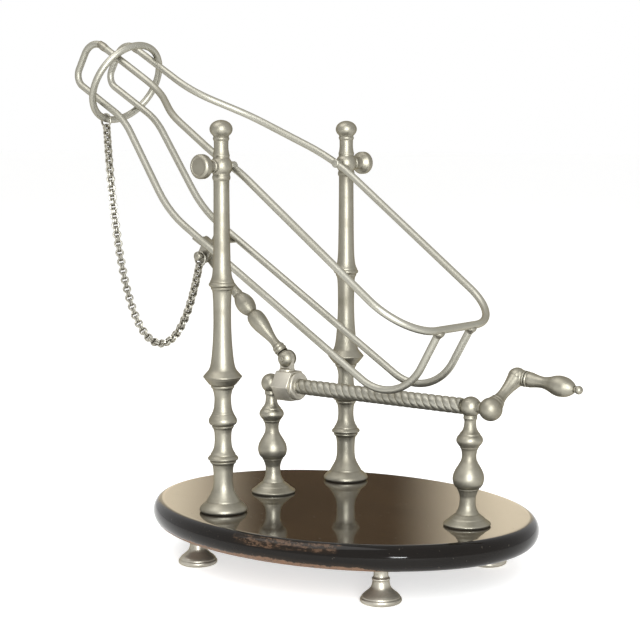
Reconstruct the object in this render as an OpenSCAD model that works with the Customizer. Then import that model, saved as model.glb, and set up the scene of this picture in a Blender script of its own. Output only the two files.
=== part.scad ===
// Screw-driven pouring cradle: a wire cradle on two turned posts, tilted by a crank, a lead screw and a link
// Millimetres, +Z up, origin on the table under the middle of the board, crank towards +X

/* [Board and feet] */
// Length of the oval board
board_l = 218; // [208:1:250]
// Width of the oval board
board_w = 168; // [150:1:190]
// Thickness of the board
board_t = 13; // [10:0.5:20]
// How far the rounded edge reaches in over the board
edge_in = 5.5; // [2:0.5:7]
// Height of the feet
foot_h = 19.2; // [16:0.2:28]
// Diameter of a foot's disc
foot_d = 20.4; // [16:0.2:26]
// Distance between the feet along the board
foot_span_x = 119; // [100:1:124]
// Distance between the feet across the board
foot_span_y = 94; // [80:1:100]
// Distance of the feet's middle from the board's middle, towards the crank
foot_shift = 1; // [0:0.5:4]

/* [Posts] */
// Distance between the two posts' axes
post_span = 102.8; // [96:0.2:112]
// Place of the posts along the board
post_x = -36.5; // [-44:0.5:-30]
// Height of the tilting axis above the board
pivot_h = 176; // [160:1:200]
// Diameter of a post's foot
post_foot_d = 24; // [20:0.5:28]
// Diameter of a post's upper shaft
post_shaft_d = 8.1; // [6.5:0.1:9.5]
// Diameter of the ball boss that the thumb screw goes through
boss_d = 11.4; // [10:0.2:14]
// Diameter of the ball finial
finial_d = 11.6; // [9:0.2:15]

/* [Thumb screws] */
// Diameter of the disc head
thumb_d = 12.3; // [9:0.1:18]
// Thickness of the disc head
thumb_t = 5; // [3:0.5:8]
// Length of the neck between the boss and the disc
thumb_neck_l = 6.8; // [4:0.2:10]
// Diameter of the shank
thumb_shank_d = 5; // [4:0.1:6]
// Diameter of the tip on which the cradle tilts
thumb_tip_d = 3; // [2:0.1:3.6]

/* [Lead screw] */
// Height of the screw's axis above the board
screw_h = 59.2; // [52:0.2:66]
// Diameter over the twisted ridges
screw_d = 8.2; // [7.4:0.1:9]
// Travel of the nut in one turn
screw_lead = 12.5; // [10:0.5:16]
// Number of twisted ridges
screw_starts = 3; // [2:1:4]
// Depth of the grooves
groove_depth = 0.8; // [0.4:0.1:1]
// Diameter of the plain ends
journal_d = 5; // [4:0.1:5.6]
// Place of the left baluster along the board
left_x = -46.1; // [-50:0.1:-43]
// Place of the right baluster along the board
right_x = 78.5; // [72:0.5:84]
// Diameter of a baluster's foot
baluster_foot_d = 23.6; // [18:0.2:27]
// Diameter of a baluster's ball head
ball_d = 10.2; // [9:0.2:11]

/* [Travelling nut] */
// Width across the flats
nut_flats = 15.5; // [13.5:0.5:18]
// Length of the hexagon
nut_l = 10.8; // [9:0.2:14]
// Diameter of the round collar
nut_collar_d = 14.5; // [12:0.5:15]
// Length of the round collar
nut_collar_l = 2.2; // [1:0.2:4]
// Height of the link's pin above the screw's axis
nut_pin_rise = 14.3; // [13.4:0.1:17]
// Distance of the link's pin from the nut's left face
nut_pin_in = 4.3; // [4:0.1:6]
// Thickness of the nut's tongue
tongue_t = 3.2; // [2:0.2:4]
// Diameter of the link's pins
link_pin_d = 2.4; // [1.6:0.1:2.8]

/* [Link arm] */
// Diameter of the ball fork at the nut
fork_d = 9.8; // [9:0.1:11]
// Diameter of the eye at the cradle
eye_d = 7.6; // [6:0.1:8.4]
// Width of the eye at the cradle
eye_w = 4.4; // [3.6:0.2:5.4]
// Diameter of the lower, long bulb
bulb_low_d = 9.6; // [7:0.1:11]
// Diameter of the upper, short bulb
bulb_high_d = 10; // [7:0.1:11]

/* [Crank] */
// Diameter of the ball hub
hub_d = 11.5; // [10:0.1:13]
// Distance of the handle from the screw's axis
crank_r = 23.7; // [20:0.1:27]
// Angle of the arm above the level, at rest
crank_rest = 36; // [0:1:60]
// Diameter of the ball elbow
elbow_d = 9.2; // [7.5:0.1:11]
// Droop of the handle, at rest
grip_droop = 5.4; // [0:0.2:10]
// Length of the turned grip
grip_l = 27; // [22:0.5:36]
// Greatest diameter of the grip
grip_d = 10; // [8:0.1:13]
// Diameter of the spindle inside the grip
spindle_d = 2.8; // [2:0.1:3.2]
// Diameter of the ball that ends the spindle
tip_d = 4.2; // [3.6:0.1:6]

/* [Cradle] */
// Tilt of the cradle's axis, at rest, neck up
tilt = 30; // [26:0.5:34]
// Diameter of the cradle's wire
wire_d = 3.9; // [3.4:0.1:4.3]
// Diameter of the body that lies in the cradle
load_d = 80; // [74:1:82]
// Diameter of the neck that rests on the lower rails
neck_d = 27.6; // [26:0.2:28.4]
// Depth of the load's axis below the tilting axis
load_drop = 23.3; // [22:0.1:25]
// Distance of the hoop from the tilting axis, along the cradle
hoop_s = 132.5; // [120:0.5:150]
// Radius of the hoop's corners
hoop_r = 26; // [16:0.5:28]
// Fall of the upper rails towards the hoop
hoop_drop = 14; // [8:0.5:18]
// Half the distance between the lower rails
low_y = 14; // [13.4:0.1:15.4]
// Half the distance between the rails at the neck
neck_y = 12.8; // [12:0.1:13.2]
// Distance of the hairpins' ends from the tilting axis, along the cradle
hairpin_s = 148.8; // [147:0.1:158]
// Rise of the lower rails from the hoop to the throat
low_rise = 4; // [0:0.5:6]
// Drop of the lugs' pin below the lower rails
lug_drop = 12.1; // [11:0.1:15]
// Distance of the lugs' pin from the tilting axis, along the cradle
lug_s = 23.4; // [22:0.2:26]

/* [Slip ring and chain] */
// Radius of the slip ring, at the middle of its wire
ring_r = 23.7; // [22.8:0.1:26]
// Distance of the slip ring from the tilting axis, along the cradle
ring_s = 123.7; // [119:0.1:128]
// Depth of the ring's middle below the tilting axis
ring_drop = 20; // [19:0.2:21]
// Radius of a chain link, at the middle of its wire
link_r = 1.7; // [1.6:0.05:1.9]
// Diameter of the chain's wire
link_wire_d = 0.9; // [0.7:0.05:0.95]
// Number of links between the two end rings
link_count = 83; // [79:2:89]

/* [Hidden] */
// Running fit between a shaft and its bore, on the radius
fit = 0.05;
// Space between pieces that move past each other
gap = 0.3;
// Space at a brazed seat
seat = 0.02;

// Heights and places that follow from the sizes above
deck = foot_h + board_t;
axis_z = deck + screw_h;
pivot_z = deck + pivot_h;
post_y = post_span / 2;
wire_r = wire_d / 2;
ball_r = ball_d / 2;
hub_x = right_x + ball_r + gap + 2 + hub_d / 2;
nut_left = left_x + ball_r + gap;
nut_pin_x = nut_left + nut_pin_in;
nut_pin_z = axis_z + nut_pin_rise;
thread_start = left_x + ball_r + gap / 2;
thread_end = right_x - ball_r - gap / 2;

// Rails: beside the posts' bosses, along the load's body and along its neck, in the cradle's own frame
rail_y = post_y - boss_d / 2 - gap - 0.1 - wire_r;
low_n = -load_drop - sqrt(pow(load_d / 2 + wire_r, 2) - low_y * low_y);
neck_low_n = -load_drop - sqrt(pow(neck_d / 2 + wire_r, 2) - neck_y * neck_y);
neck_high_n = -ring_drop + sqrt(pow(ring_r - wire_d - gap, 2) - neck_y * neck_y);
hairpin_high_r = 11;
hairpin_low_r = 7;
joint_s = -hairpin_s + hairpin_high_r;
shoulder_s = [-88, -58, -14];
shoulder_y = [neck_y, lerp(neck_y, rail_y, 0.62), rail_y];
belly_s = -lug_s - 25.6;
belly_n = low_n + low_rise;
throat_s = -104;
lug_rail_n = low_at(-lug_s);
lug_n = lug_rail_n - lug_drop;

// Lugs and the link between them
lug_t = 1.6;
lug_in = eye_w / 2 + gap + 0.1;
lug_out = lug_in + lug_t;
lug_l = 8.4;
lug_round_r = 4;
rivet_neck_l = 3.2;
rivet_head_t = 2.4;
rivet_head_d = 5.2;

pewter = [0.70, 0.69, 0.64];
pewter_dark = [0.56, 0.55, 0.51];
ebonised = [0.07, 0.06, 0.05];
steel = [0.5, 0.5, 0.5];

// Small helpers
function lerp(a, b, k) = a + (b - a) * k;
function ease(k) = (1 - cos(180 * k)) / 2;
function unit(v) = v / norm(v);
function last(v) = v[len(v) - 1];
function low_at(s) = lerp(belly_n, low_n, (s - belly_s) / (hoop_s - belly_s));
function sinh(x) = (exp(x) - exp(-x)) / 2;
function cosh(x) = (exp(x) + exp(-x)) / 2;
function asinh(x) = ln(x + sqrt(x * x + 1));

// A point of the cradle's frame, along it, across it and square to it, in the part's frame
function cradle_point(s, y, n) =
    [post_x + s * cos(tilt) + n * sin(tilt), y, pivot_z - s * sin(tilt) + n * cos(tilt)];

module in_cradle() {
    translate([post_x, 0, pivot_z]) rotate([0, tilt, 0]) children();
}

// Turned shapes: a smooth outline through [height, radius] stations, and a ball's outline
function smooth(stations, steps = 4) = concat(
    [for (i = [0:len(stations) - 2], j = [0:steps - 1])
        [lerp(stations[i][0], stations[i + 1][0], j / steps),
         lerp(stations[i][1], stations[i + 1][1], ease(j / steps))]],
    [last(stations)]);

function ball_outline(z, r, high, from, to, steps = 10) =
    [for (i = [0:steps]) let (a = lerp(from, to, i / steps)) [z + high * sin(a), r * cos(a)]];

module lathe(outline) {
    rotate_extrude($fn = 96)
        polygon(concat([[0, outline[0][0]]], [for (p = outline) [p[1], p[0]]], [[0, last(outline)[0]]]));
}

// Places children in a frame of three axes at a point
module framed(p, x, y, z) {
    multmatrix([[x[0], y[0], z[0], p[0]], [x[1], y[1], z[1], p[1]], [x[2], y[2], z[2], p[2]], [0, 0, 0, 1]])
        children();
}

// A straight rod, a bend and a whole wire through points with a bend radius at each inner point
function beside(v) = unit(cross(v, abs(unit(v)[1]) < 0.9 ? [0, 1, 0] : [1, 0, 0]));
function turn(a, b, c) = acos(unit(b - a) * unit(c - b));
function setback(p, r, i) = i == 0 || i == len(p) - 1 ? 0 : r[i] * tan(turn(p[i - 1], p[i], p[i + 1]) / 2);

module rod(a, b, d) {
    z = unit(b - a);
    x = beside(z);
    framed(a, x, cross(z, x), z) cylinder(d = d, h = norm(b - a), $fn = 48);
}

// Bends are a hair thicker than the rods, whose ends reach into them
bend_over = 0.03;
rod_reach = 0.25;

module bend(a, b, c, r, d) {
    u = unit(b - a);
    w = unit(c - b);
    inward = unit(w - u * (u * w));
    start = b - u * r * tan(turn(a, b, c) / 2);
    framed(start + inward * r, -inward, u, cross(-inward, u))
        rotate_extrude(angle = turn(a, b, c), $fn = 96) translate([r, 0]) circle(d = d + bend_over, $fn = 48);
}

module wire(p, r, d) {
    for (i = [0:len(p) - 2]) {
        u = unit(p[i + 1] - p[i]);
        from = setback(p, r, i) - (i == 0 ? 0 : rod_reach);
        to = setback(p, r, i + 1) - (i == len(p) - 2 ? 0 : rod_reach);
        rod(p[i] + u * from, p[i + 1] - u * to, d);
    }
    for (i = [1:len(p) - 2])
        bend(p[i - 1], p[i], p[i + 1], r[i], d);
}

// Board: an oval with a half-round edge, drilled for the fixing screws and the feet's spigots
board_sides = 96;
edge_steps = 8;
spigot_d = 5;
spigot_l = 8;
screw_shank_d = 4;
screw_head_d = 8;
screw_head_t = 3;
screw_reach = 9;

function oval_ring(inset, z) = [for (i = [0:board_sides - 1]) let (a = 360 * i / board_sides)
    [(board_l / 2 - inset) * cos(a), (board_w / 2 - inset) * sin(a), z]];

module oval() {
    rings = [for (k = [0:edge_steps]) let (a = lerp(-90, 90, k / edge_steps))
        oval_ring(edge_in * (1 - cos(a)), foot_h + board_t / 2 * (1 + sin(a)))];
    n = board_sides;
    polyhedron(
        points = [for (ring = rings) for (p = ring) p],
        faces = concat(
            [for (k = [0:edge_steps - 1], i = [0:n - 1]) [k * n + i, (k + 1) * n + i, k * n + (i + 1) % n]],
            [for (k = [0:edge_steps - 1], i = [0:n - 1])
                [(k + 1) * n + i, (k + 1) * n + (i + 1) % n, k * n + (i + 1) % n]],
            [[for (i = [0:n - 1]) i]],
            [[for (i = [0:n - 1]) edge_steps * n + n - 1 - i]]));
}

function turning_places() = [[post_x, -post_y], [post_x, post_y], [left_x, 0], [right_x, 0]];
function foot_places() = [for (x = [-1, 1], y = [-1, 1]) foot_place(x, y)];
function foot_place(x, y) = [foot_shift + x * foot_span_x / 2, y * foot_span_y / 2];

module base_board() {
    color(ebonised) difference() {
        oval();
        for (p = turning_places()) translate([p[0], p[1], foot_h - 1]) {
            cylinder(d = screw_shank_d + 2 * fit, h = board_t + 2, $fn = 32);
            cylinder(d = screw_head_d + 2 * fit, h = screw_head_t + 1, $fn = 32);
        }
        for (p = foot_places()) translate([p[0], p[1], foot_h - 1])
            cylinder(d = spigot_d + 2 * fit, h = spigot_l + 1 + gap, $fn = 32);
    }
}

// Feet: a disc with a turned stem, and a spigot up into the board
module foot(x_side, y_side) {
    stem_r = 4.1;
    outline = smooth([[0, foot_d / 2 - 2], [1.2, foot_d / 2 - 0.6], [4, foot_d / 2], [5.4, foot_d / 2 - 0.3],
        [7.6, 6.6], [11.8, 3.65], [13.6, 3.8], [foot_h - 3.4, 4.4], [foot_h - 2.2, stem_r - 0.2], [foot_h, stem_r]]);
    color(pewter) translate(foot_place(x_side, y_side)) {
        lathe(outline);
        translate([0, 0, foot_h - 0.5]) cylinder(d = spigot_d, h = spigot_l + 0.5, $fn = 32);
    }
}

// Fixing screws: up through the board into the posts and balusters
module fixing_screws() {
    color(steel) for (p = turning_places()) translate([p[0], p[1], foot_h]) difference() {
        union() {
            cylinder(d = screw_head_d, h = screw_head_t, $fn = 32);
            cylinder(d = screw_shank_d, h = board_t + screw_reach, $fn = 32);
        }
        translate([-screw_head_d, -0.5, -1]) cube([2 * screw_head_d, 1, 2]);
    }
}

module screw_socket() {
    translate([0, 0, -1]) cylinder(d = screw_shank_d + 2 * fit, h = screw_reach + 1 + gap, $fn = 32);
}

// Posts: turned, with a ball boss on the tilting axis and a ball finial
post_r = post_shaft_d / 2;
foot_r = post_foot_d / 2;
finial_rise = 18.5;
post_outline = concat(
    smooth([[0, foot_r - 0.4], [1.5, foot_r], [3.6, foot_r - 0.6], [5.2, foot_r - 2.8], [18.7, 5.2], [21.8, 5.2],
        [23.9, 5.7], [25.2, 5.4], [26.8, 7.75], [29.5, 5.5], [36.9, 4.3], [40.6, 4.3], [42.8, 4.9], [44.1, 4.6],
        [46.4, 7.1], [49.6, 5.2], [56.5, 4.1], [61.4, 4.2], [63.4, 4.9], [64.6, 4.7], [66, 7], [69.6, 9.9],
        [72.9, 6.5], [78, 5.75], [88.3, 5.1], [108.6, post_r + 0.5], [112.2, post_r + 0.5], [114, post_r + 0.95],
        [114.9, post_r + 0.65], [116.2, post_r + 2.6], [119.8, post_r + 0.7], [134, post_r + 0.1]]),
    smooth([[pivot_h - 17, post_r - 0.05], [pivot_h - 7.2, post_r], [pivot_h - 5.4, post_r + 0.5],
        [pivot_h - 4.4, post_r + 0.3]]),
    smooth([[pivot_h + 4.4, post_r + 0.1], [pivot_h + 5.4, post_r + 0.25], [pivot_h + 9.6, post_r - 0.4],
        [pivot_h + 13, post_r - 0.35], [pivot_h + 14, post_r + 0.05], [pivot_h + 14.8, post_r - 0.3]]),
    ball_outline(pivot_h + finial_rise, finial_d / 2, 4.6, -48, 88));

module post(side) {
    color(pewter) translate([post_x, side * post_y, deck]) difference() {
        union() {
            lathe(post_outline);
            translate([0, 0, pivot_h]) sphere(d = boss_d, $fn = 96);
        }
        screw_socket();
        translate([0, 0, pivot_h]) rotate([90, 0, 0])
            cylinder(d = thumb_shank_d + 2 * fit, h = 2 * boss_d, center = true, $fn = 48);
    }
}

// Thumb screws: a recessed disc on a neck, a shank through the boss and a tip in the rail's eye
module thumb_screw(side) {
    neck = boss_d / 2 - 0.2;
    disc = neck + thumb_neck_l;
    disc_r = thumb_d / 2;
    tip_reach = boss_d / 2 + gap + 0.1 + wire_r + 0.9;
    color(pewter) translate([post_x, side * post_y, pivot_z]) rotate([-90 * side, 0, 0]) {
        difference() {
            lathe(smooth([[neck, 3.1], [neck + 1.2, 3.4], [neck + 2.6, 2.9], [disc - 1.6, 3.3], [disc, disc_r - 0.9],
                [disc + 1.1, disc_r], [disc + thumb_t - 1.1, disc_r], [disc + thumb_t, disc_r - 1]]));
            translate([0, 0, disc + thumb_t - 0.7]) cylinder(d1 = thumb_d - 3.6, d2 = thumb_d - 3, h = 1, $fn = 64);
        }
        translate([0, 0, -boss_d / 2 + 0.5]) cylinder(d = thumb_shank_d, h = boss_d / 2 + neck, $fn = 48);
        translate([0, 0, -tip_reach]) cylinder(d = thumb_tip_d, h = tip_reach, $fn = 48);
    }
}

// Balusters: turned, with a ball head on the screw's axis
module baluster(x, open) {
    flange_r = baluster_foot_d / 2;
    outline = concat(
        smooth([[0, flange_r - 0.4], [0.9, flange_r], [2.4, flange_r - 0.9], [5.5, 6.5], [12.6, 4], [16.4, 4],
            [18.1, 4.4], [19.1, 4.2], [23.6, 7.7], [35.1, 3.5], [37.2, 3.5], [38.6, 3.8], [39.5, 3.6],
            [screw_h - 16.1, 6.5], [screw_h - 8.6, 2.9], [screw_h - 7, 2.9], [screw_h - 5.9, 3.3],
            [screw_h - 4.6, 3.1]]));
    bore_from = open ? -ball_d : -ball_r + 1.1;
    color(pewter) translate([x, 0, deck]) difference() {
        union() {
            lathe(outline);
            translate([0, 0, screw_h]) sphere(d = ball_d, $fn = 96);
        }
        screw_socket();
        translate([bore_from, 0, screw_h]) rotate([0, 90, 0])
            cylinder(d = journal_d + 2 * fit, h = 2 * ball_d, $fn = 48);
    }
}

// Lead screw: twisted ridges between the balusters, and plain journals
ridge_points = 8;
slices_per_turn = 12;

function ridge_r(a, extra) = screw_d / 2 + extra - groove_depth * (1 - abs(sin(screw_starts * a / 2)));

module twist_bar(from, to, extra) {
    count = screw_starts * ridge_points;
    turns = (to - from) / screw_lead;
    translate([from, 0, axis_z]) rotate([0, 90, 0])
        linear_extrude(height = to - from, twist = -360 * turns, slices = ceil(slices_per_turn * turns))
            rotate(360 * (from - thread_start) / screw_lead)
                polygon([for (i = [0:count - 1]) let (a = 360 * i / count)
                    ridge_r(a, extra) * [cos(a), sin(a)]]);
}

module lead_screw() {
    left_end = left_x - ball_r + 1.1 + gap;
    right_end = hub_x + hub_d / 2 - 2;
    color(pewter) difference() {
        union() {
            twist_bar(thread_start, thread_end, 0);
            translate([left_end, 0, axis_z]) rotate([0, 90, 0])
                cylinder(d = journal_d, h = right_end - left_end, $fn = 48);
        }
        translate([hub_x, 0, axis_z]) cylinder(d = cross_pin_d + 2 * fit, h = hub_d, center = true, $fn = 24);
    }
}

// Crank: ball hub on the shaft, swan neck and ball elbow, with a cross pin through hub and shaft
cross_pin_d = 1.6;
elbow_x = hub_x + 3;
elbow = [elbow_x, crank_r * cos(crank_rest), axis_z + crank_r * sin(crank_rest)];
grip_dir = [cos(grip_droop), 0, -sin(grip_droop)];
grip_side = [sin(grip_droop), 0, cos(grip_droop)];
grip_start = elbow_d / 2 + 0.4;

module on_grip() {
    framed(elbow, grip_side, [0, 1, 0], grip_dir) rotate([0, 0, 180]) children();
}

module crank_arm() {
    hub = [hub_x, 0, axis_z];
    arm = elbow - hub;
    arm_side = beside(arm);
    color(pewter) difference() {
        union() {
            translate(hub) sphere(d = hub_d, $fn = 96);
            translate([right_x + ball_r + gap, 0, axis_z]) rotate([0, 90, 0]) cylinder(r = 3.6, h = 4, $fn = 48);
            framed(hub, arm_side, cross(unit(arm), arm_side), unit(arm))
                lathe(smooth([[0, 4.2], [norm(arm) / 2, 2.7], [norm(arm), 3.9]], 8));
            translate(elbow) sphere(d = elbow_d, $fn = 96);
            on_grip() cylinder(r = 4, h = grip_start, $fn = 48);
        }
        translate([right_x, 0, axis_z]) rotate([0, 90, 0])
            cylinder(d = journal_d + 2 * fit, h = hub_x + hub_d / 2 - 2 + gap - right_x, $fn = 48);
        translate(hub) cylinder(d = cross_pin_d + 2 * fit, h = hub_d + 2, center = true, $fn = 24);
        on_grip() translate([0, 0, -1]) cylinder(d = spindle_d + 2 * fit, h = grip_start + 2, $fn = 32);
    }
}

module crank_cross_pin() {
    pin_l = hub_d - 0.6;
    color(steel) translate([hub_x, 0, axis_z]) cylinder(d = cross_pin_d, h = pin_l, center = true, $fn = 24);
}

// Handle: a spindle with a ball tip, and a turned grip that spins on it
module grip_spindle() {
    reach = grip_start + gap + grip_l + gap;
    color(pewter) on_grip() {
        translate([0, 0, -1 + gap]) cylinder(d = spindle_d, h = reach + 1, $fn = 32);
        translate([0, 0, reach + sqrt(tip_d * tip_d - spindle_d * spindle_d) / 2]) sphere(d = tip_d, $fn = 64);
    }
}

module crank_grip() {
    z0 = grip_start + gap;
    bulb = grip_l - 9;
    color(pewter) on_grip() difference() {
        lathe(concat(
            smooth([[z0, 3.3], [z0 + 0.9, 3.7], [z0 + 1.8, 3.3], [z0 + 2.5, 3.75], [z0 + 4.2, 3.5], [z0 + 9.4, 2.6],
                [z0 + bulb, grip_d / 2], [z0 + grip_l - 3, 3.9], [z0 + grip_l, 2.1]])));
        translate([0, 0, z0 - 1]) cylinder(d = spindle_d + 2 * fit, h = grip_l + 2, $fn = 32);
    }
}

// Travelling nut: a hexagon with a collar, threaded on the screw, and a tongue for the link's pin
thread_gap = 0.35;

module travelling_nut() {
    corner_d = nut_flats / cos(30);
    collar_end = nut_left + nut_l + nut_collar_l;
    tongue_r = fork_d / 2 - 1.1;
    boss_top = nut_pin_z - fork_d / 2 - gap;
    color(pewter) difference() {
        union() {
            translate([nut_left, 0, axis_z]) rotate([0, 90, 0]) rotate([0, 0, 90])
                cylinder(d = corner_d, h = nut_l, $fn = 6);
            translate([nut_left + nut_l - 1, 0, axis_z]) rotate([0, 90, 0])
                cylinder(d = nut_collar_d, h = nut_collar_l + 1, $fn = 64);
            translate([nut_pin_x, 0, axis_z]) cylinder(r = nut_pin_in - 0.1, h = boss_top - axis_z, $fn = 64);
            translate([nut_pin_x - tongue_r, -tongue_t / 2, axis_z]) cube([2 * tongue_r, tongue_t, nut_pin_rise]);
            translate([nut_pin_x, 0, nut_pin_z]) rotate([90, 0, 0])
                cylinder(r = tongue_r, h = tongue_t, center = true, $fn = 64);
        }
        twist_bar(nut_left - 1, collar_end + 1, thread_gap);
        translate([nut_pin_x, 0, nut_pin_z]) rotate([90, 0, 0])
            cylinder(d = link_pin_d + 2 * fit, h = 3 * tongue_t, center = true, $fn = 32);
    }
}

module link_pin_low() {
    shank_l = fork_d - 1.2;
    color(pewter_dark) translate([nut_pin_x, 0, nut_pin_z]) rotate([90, 0, 0])
        cylinder(d = link_pin_d, h = shank_l, center = true, $fn = 32);
}

// Link arm: ball fork over the nut's tongue, two bulbs, and an eye between the lugs
link_foot = [nut_pin_x, 0, nut_pin_z];
link_head = cradle_point(-lug_s, 0, lug_n);
link_l = norm(link_head - link_foot);
link_dir = unit(link_head - link_foot);

module on_link() {
    framed(link_foot, [0, 1, 0], cross(link_dir, [0, 1, 0]), link_dir) children();
}

module link_arm() {
    slot_w = tongue_t + 2 * gap;
    root = fork_d / 2 - 0.6;
    tail = link_l - eye_d / 2;
    outline = smooth([[fork_d / 2 - 2.9, 3.6], [root + 1.6, 3.7], [root + 2.4, 3.3], [root + 3.3, 3.7],
        [root + 4.6, 2.9], [root + 9, 2.5], [root + 23, bulb_low_d / 2], [root + 30.4, 2.7], [root + 36.6, bulb_high_d / 2],
        [root + 42.4, 2.8], [root + 43.4, 3.3], [root + 44.6, 2.9], [root + 47, 2.5], [tail, 2.3], [tail + 1.2, 2.3]]);
    color(pewter) on_link() difference() {
        union() {
            sphere(d = fork_d, $fn = 96);
            lathe(outline);
            translate([0, 0, link_l]) rotate([0, 90, 0]) cylinder(d = eye_d, h = eye_w, center = true, $fn = 64);
        }
        translate([-slot_w / 2, -fork_d, -fork_d]) cube([slot_w, 2 * fork_d, fork_d + root]);
        rotate([0, 90, 0]) cylinder(d = link_pin_d + 2 * fit, h = 2 * fork_d, center = true, $fn = 32);
        translate([0, 0, link_l]) rotate([0, 90, 0])
            cylinder(d = link_pin_d + 2 * fit, h = 2 * eye_w, center = true, $fn = 32);
    }
}

module link_pin_high() {
    color(pewter_dark) translate(link_head) rotate([90, 0, 0])
        cylinder(d = link_pin_d, h = eye_w, center = true, $fn = 32);
}

// Cradle, upper bow: both upper rails and the hoop in one wire, with a drilled eye on each rail
eye_in = wire_r + 1.6;
hoop_n = -hoop_drop;

function half_bow(side) = [
    [joint_s, side * neck_y, neck_high_n],
    [shoulder_s[0], side * shoulder_y[0], neck_high_n],
    [shoulder_s[1], side * shoulder_y[1], 0.68 * neck_high_n],
    [shoulder_s[2], side * shoulder_y[2], 0.15 * neck_high_n],
    [6, side * rail_y, 0],
    [hoop_s, side * rail_y, hoop_n]];

module upper_bow() {
    near = half_bow(-1);
    far = half_bow(1);
    bends = [0, 46, 60, 60, 70, hoop_r];
    color(pewter) in_cradle() difference() {
        union() {
            wire(concat(near, [for (i = [len(far) - 1:-1:0]) far[i]]),
                concat(bends, [for (i = [len(bends) - 1:-1:0]) bends[i]]), wire_d);
            for (side = [-1, 1]) translate([0, side * (rail_y - eye_in), 0]) rotate([-90 * side, 0, 0])
                cylinder(r = wire_r + 1.7, h = eye_in + wire_r, $fn = 64);
        }
        for (side = [-1, 1]) translate([0, side * (rail_y - 1), 0]) rotate([-90 * side, 0, 0])
            cylinder(d = thumb_tip_d + 2 * fit, h = boss_d, $fn = 48);
    }
}

// Cradle, lower wires: J-end under the hoop, lower rail, throat, neck and hairpin, up to the bow's end
function lower_path(side) = [
    [hoop_s, side * low_y, hoop_n],
    [hoop_s, side * low_y, low_n],
    [belly_s, side * low_y, belly_n],
    [throat_s, side * neck_y, neck_low_n],
    [-hairpin_s, side * neck_y, neck_low_n],
    [-hairpin_s, side * neck_y, neck_high_n],
    [joint_s, side * neck_y, neck_high_n]];

module lower_wire(side) {
    color(pewter) in_cradle() difference() {
        wire(lower_path(side), [0, hoop_r, 65, 37, hairpin_low_r, hairpin_high_r - 0.5, 0], wire_d);
        translate([hoop_s, side * low_y, hoop_n]) rotate([90, 0, 0])
            cylinder(d = wire_d + 2 * seat, h = 4 * wire_d, center = true, $fn = 48);
    }
}

// Lugs: a foot under each lower rail and a cheek beside the link's eye, with a rivet through the cheek
module lug(side) {
    foot_t = 1.6;
    top = lug_rail_n - wire_r + 0.5;
    color(pewter_dark) in_cradle() difference() {
        union() {
            translate([-lug_s - lug_l / 2, side > 0 ? lug_in : -low_y - wire_r, top - foot_t])
                cube([lug_l, low_y + wire_r - lug_in, foot_t]);
            translate([-lug_s - lug_round_r, side > 0 ? lug_in : -lug_out, lug_n])
                cube([2 * lug_round_r, lug_t, top - lug_n]);
            translate([-lug_s, side * (lug_in + lug_out) / 2, lug_n]) rotate([90, 0, 0])
                cylinder(r = lug_round_r, h = lug_t, center = true, $fn = 64);
        }
        rod([-lug_s - lug_l, side * low_y, low_at(-lug_s - lug_l)],
            [-lug_s + lug_l, side * low_y, low_at(-lug_s + lug_l)], wire_d + 2 * seat);
        translate([-lug_s, 0, lug_n]) rotate([90, 0, 0])
            cylinder(d = link_pin_d + 2 * fit, h = 4 * lug_out, center = true, $fn = 32);
    }
}

module lug_rivets() {
    color(pewter_dark) in_cradle() for (side = [-1, 1]) {
        neck = side < 0 ? rivet_neck_l : 0;
        translate([-lug_s, side * lug_in, lug_n]) rotate([-90 * side, 0, 0]) {
            cylinder(d = link_pin_d, h = lug_t + neck + rivet_head_t, $fn = 32);
            translate([0, 0, lug_t + neck]) cylinder(d = rivet_head_d, h = rivet_head_t, $fn = 48);
        }
    }
}

// Slip ring, loose round the rails at the neck
module slip_ring() {
    color(pewter) in_cradle() translate([-ring_s, 0, -ring_drop]) rotate([0, 90, 0])
        rotate_extrude($fn = 128) translate([ring_r, 0]) circle(d = wire_d, $fn = 48);
}

// Chain: a hanging curve between the slip ring and the near rivet, with round links at equal steps along it
end_ring_r = 3.6;
end_wire_d = 1.2;
link_gap = 0.12;
hang_turn = 12;
link_wire_r = link_wire_d / 2;
link_pitch = 2 * (link_r - link_wire_r) - link_gap - 0.06;
chain_y = -(lug_out + rivet_neck_l / 2);
ring_foot = cradle_point(-ring_s, -ring_r * sin(hang_turn), -ring_drop - ring_r * cos(hang_turn));
rivet_place = cradle_point(-lug_s, chain_y, lug_n);

// Hanging curve from a to b of a given length: its steepness, its parameter and its lowest place
function steepness(q, low, high, steps) = steps == 0 ? (low + high) / 2
    : sinh((low + high) / 2) / ((low + high) / 2) > q
        ? steepness(q, low, (low + high) / 2, steps - 1)
        : steepness(q, (low + high) / 2, high, steps - 1);

function level(a, b) = norm([b[0] - a[0], b[1] - a[1]]);
function hang_a(a, b, length) = let (v = b[2] - a[2])
    level(a, b) / (2 * steepness(sqrt(length * length - v * v) / level(a, b), 0.01, 8, 40));
function hang_low(a, b, length) = let (v = b[2] - a[2], c = hang_a(a, b, length))
    level(a, b) / 2 - c * ln((length + v) / (length - v)) / 2;

function hang_point(a, b, length, along) = let (
    c = hang_a(a, b, length),
    low = hang_low(a, b, length),
    x = low + c * asinh(along / c + sinh(-low / c)),
    out = [b[0] - a[0], b[1] - a[1], 0] / level(a, b))
    a + out * x + [0, 0, c * (cosh((x - low) / c) - cosh(low / c))];

function hang_dir(a, b, length, along) =
    unit(hang_point(a, b, length, along + 0.05) - hang_point(a, b, length, along - 0.05));

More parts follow.
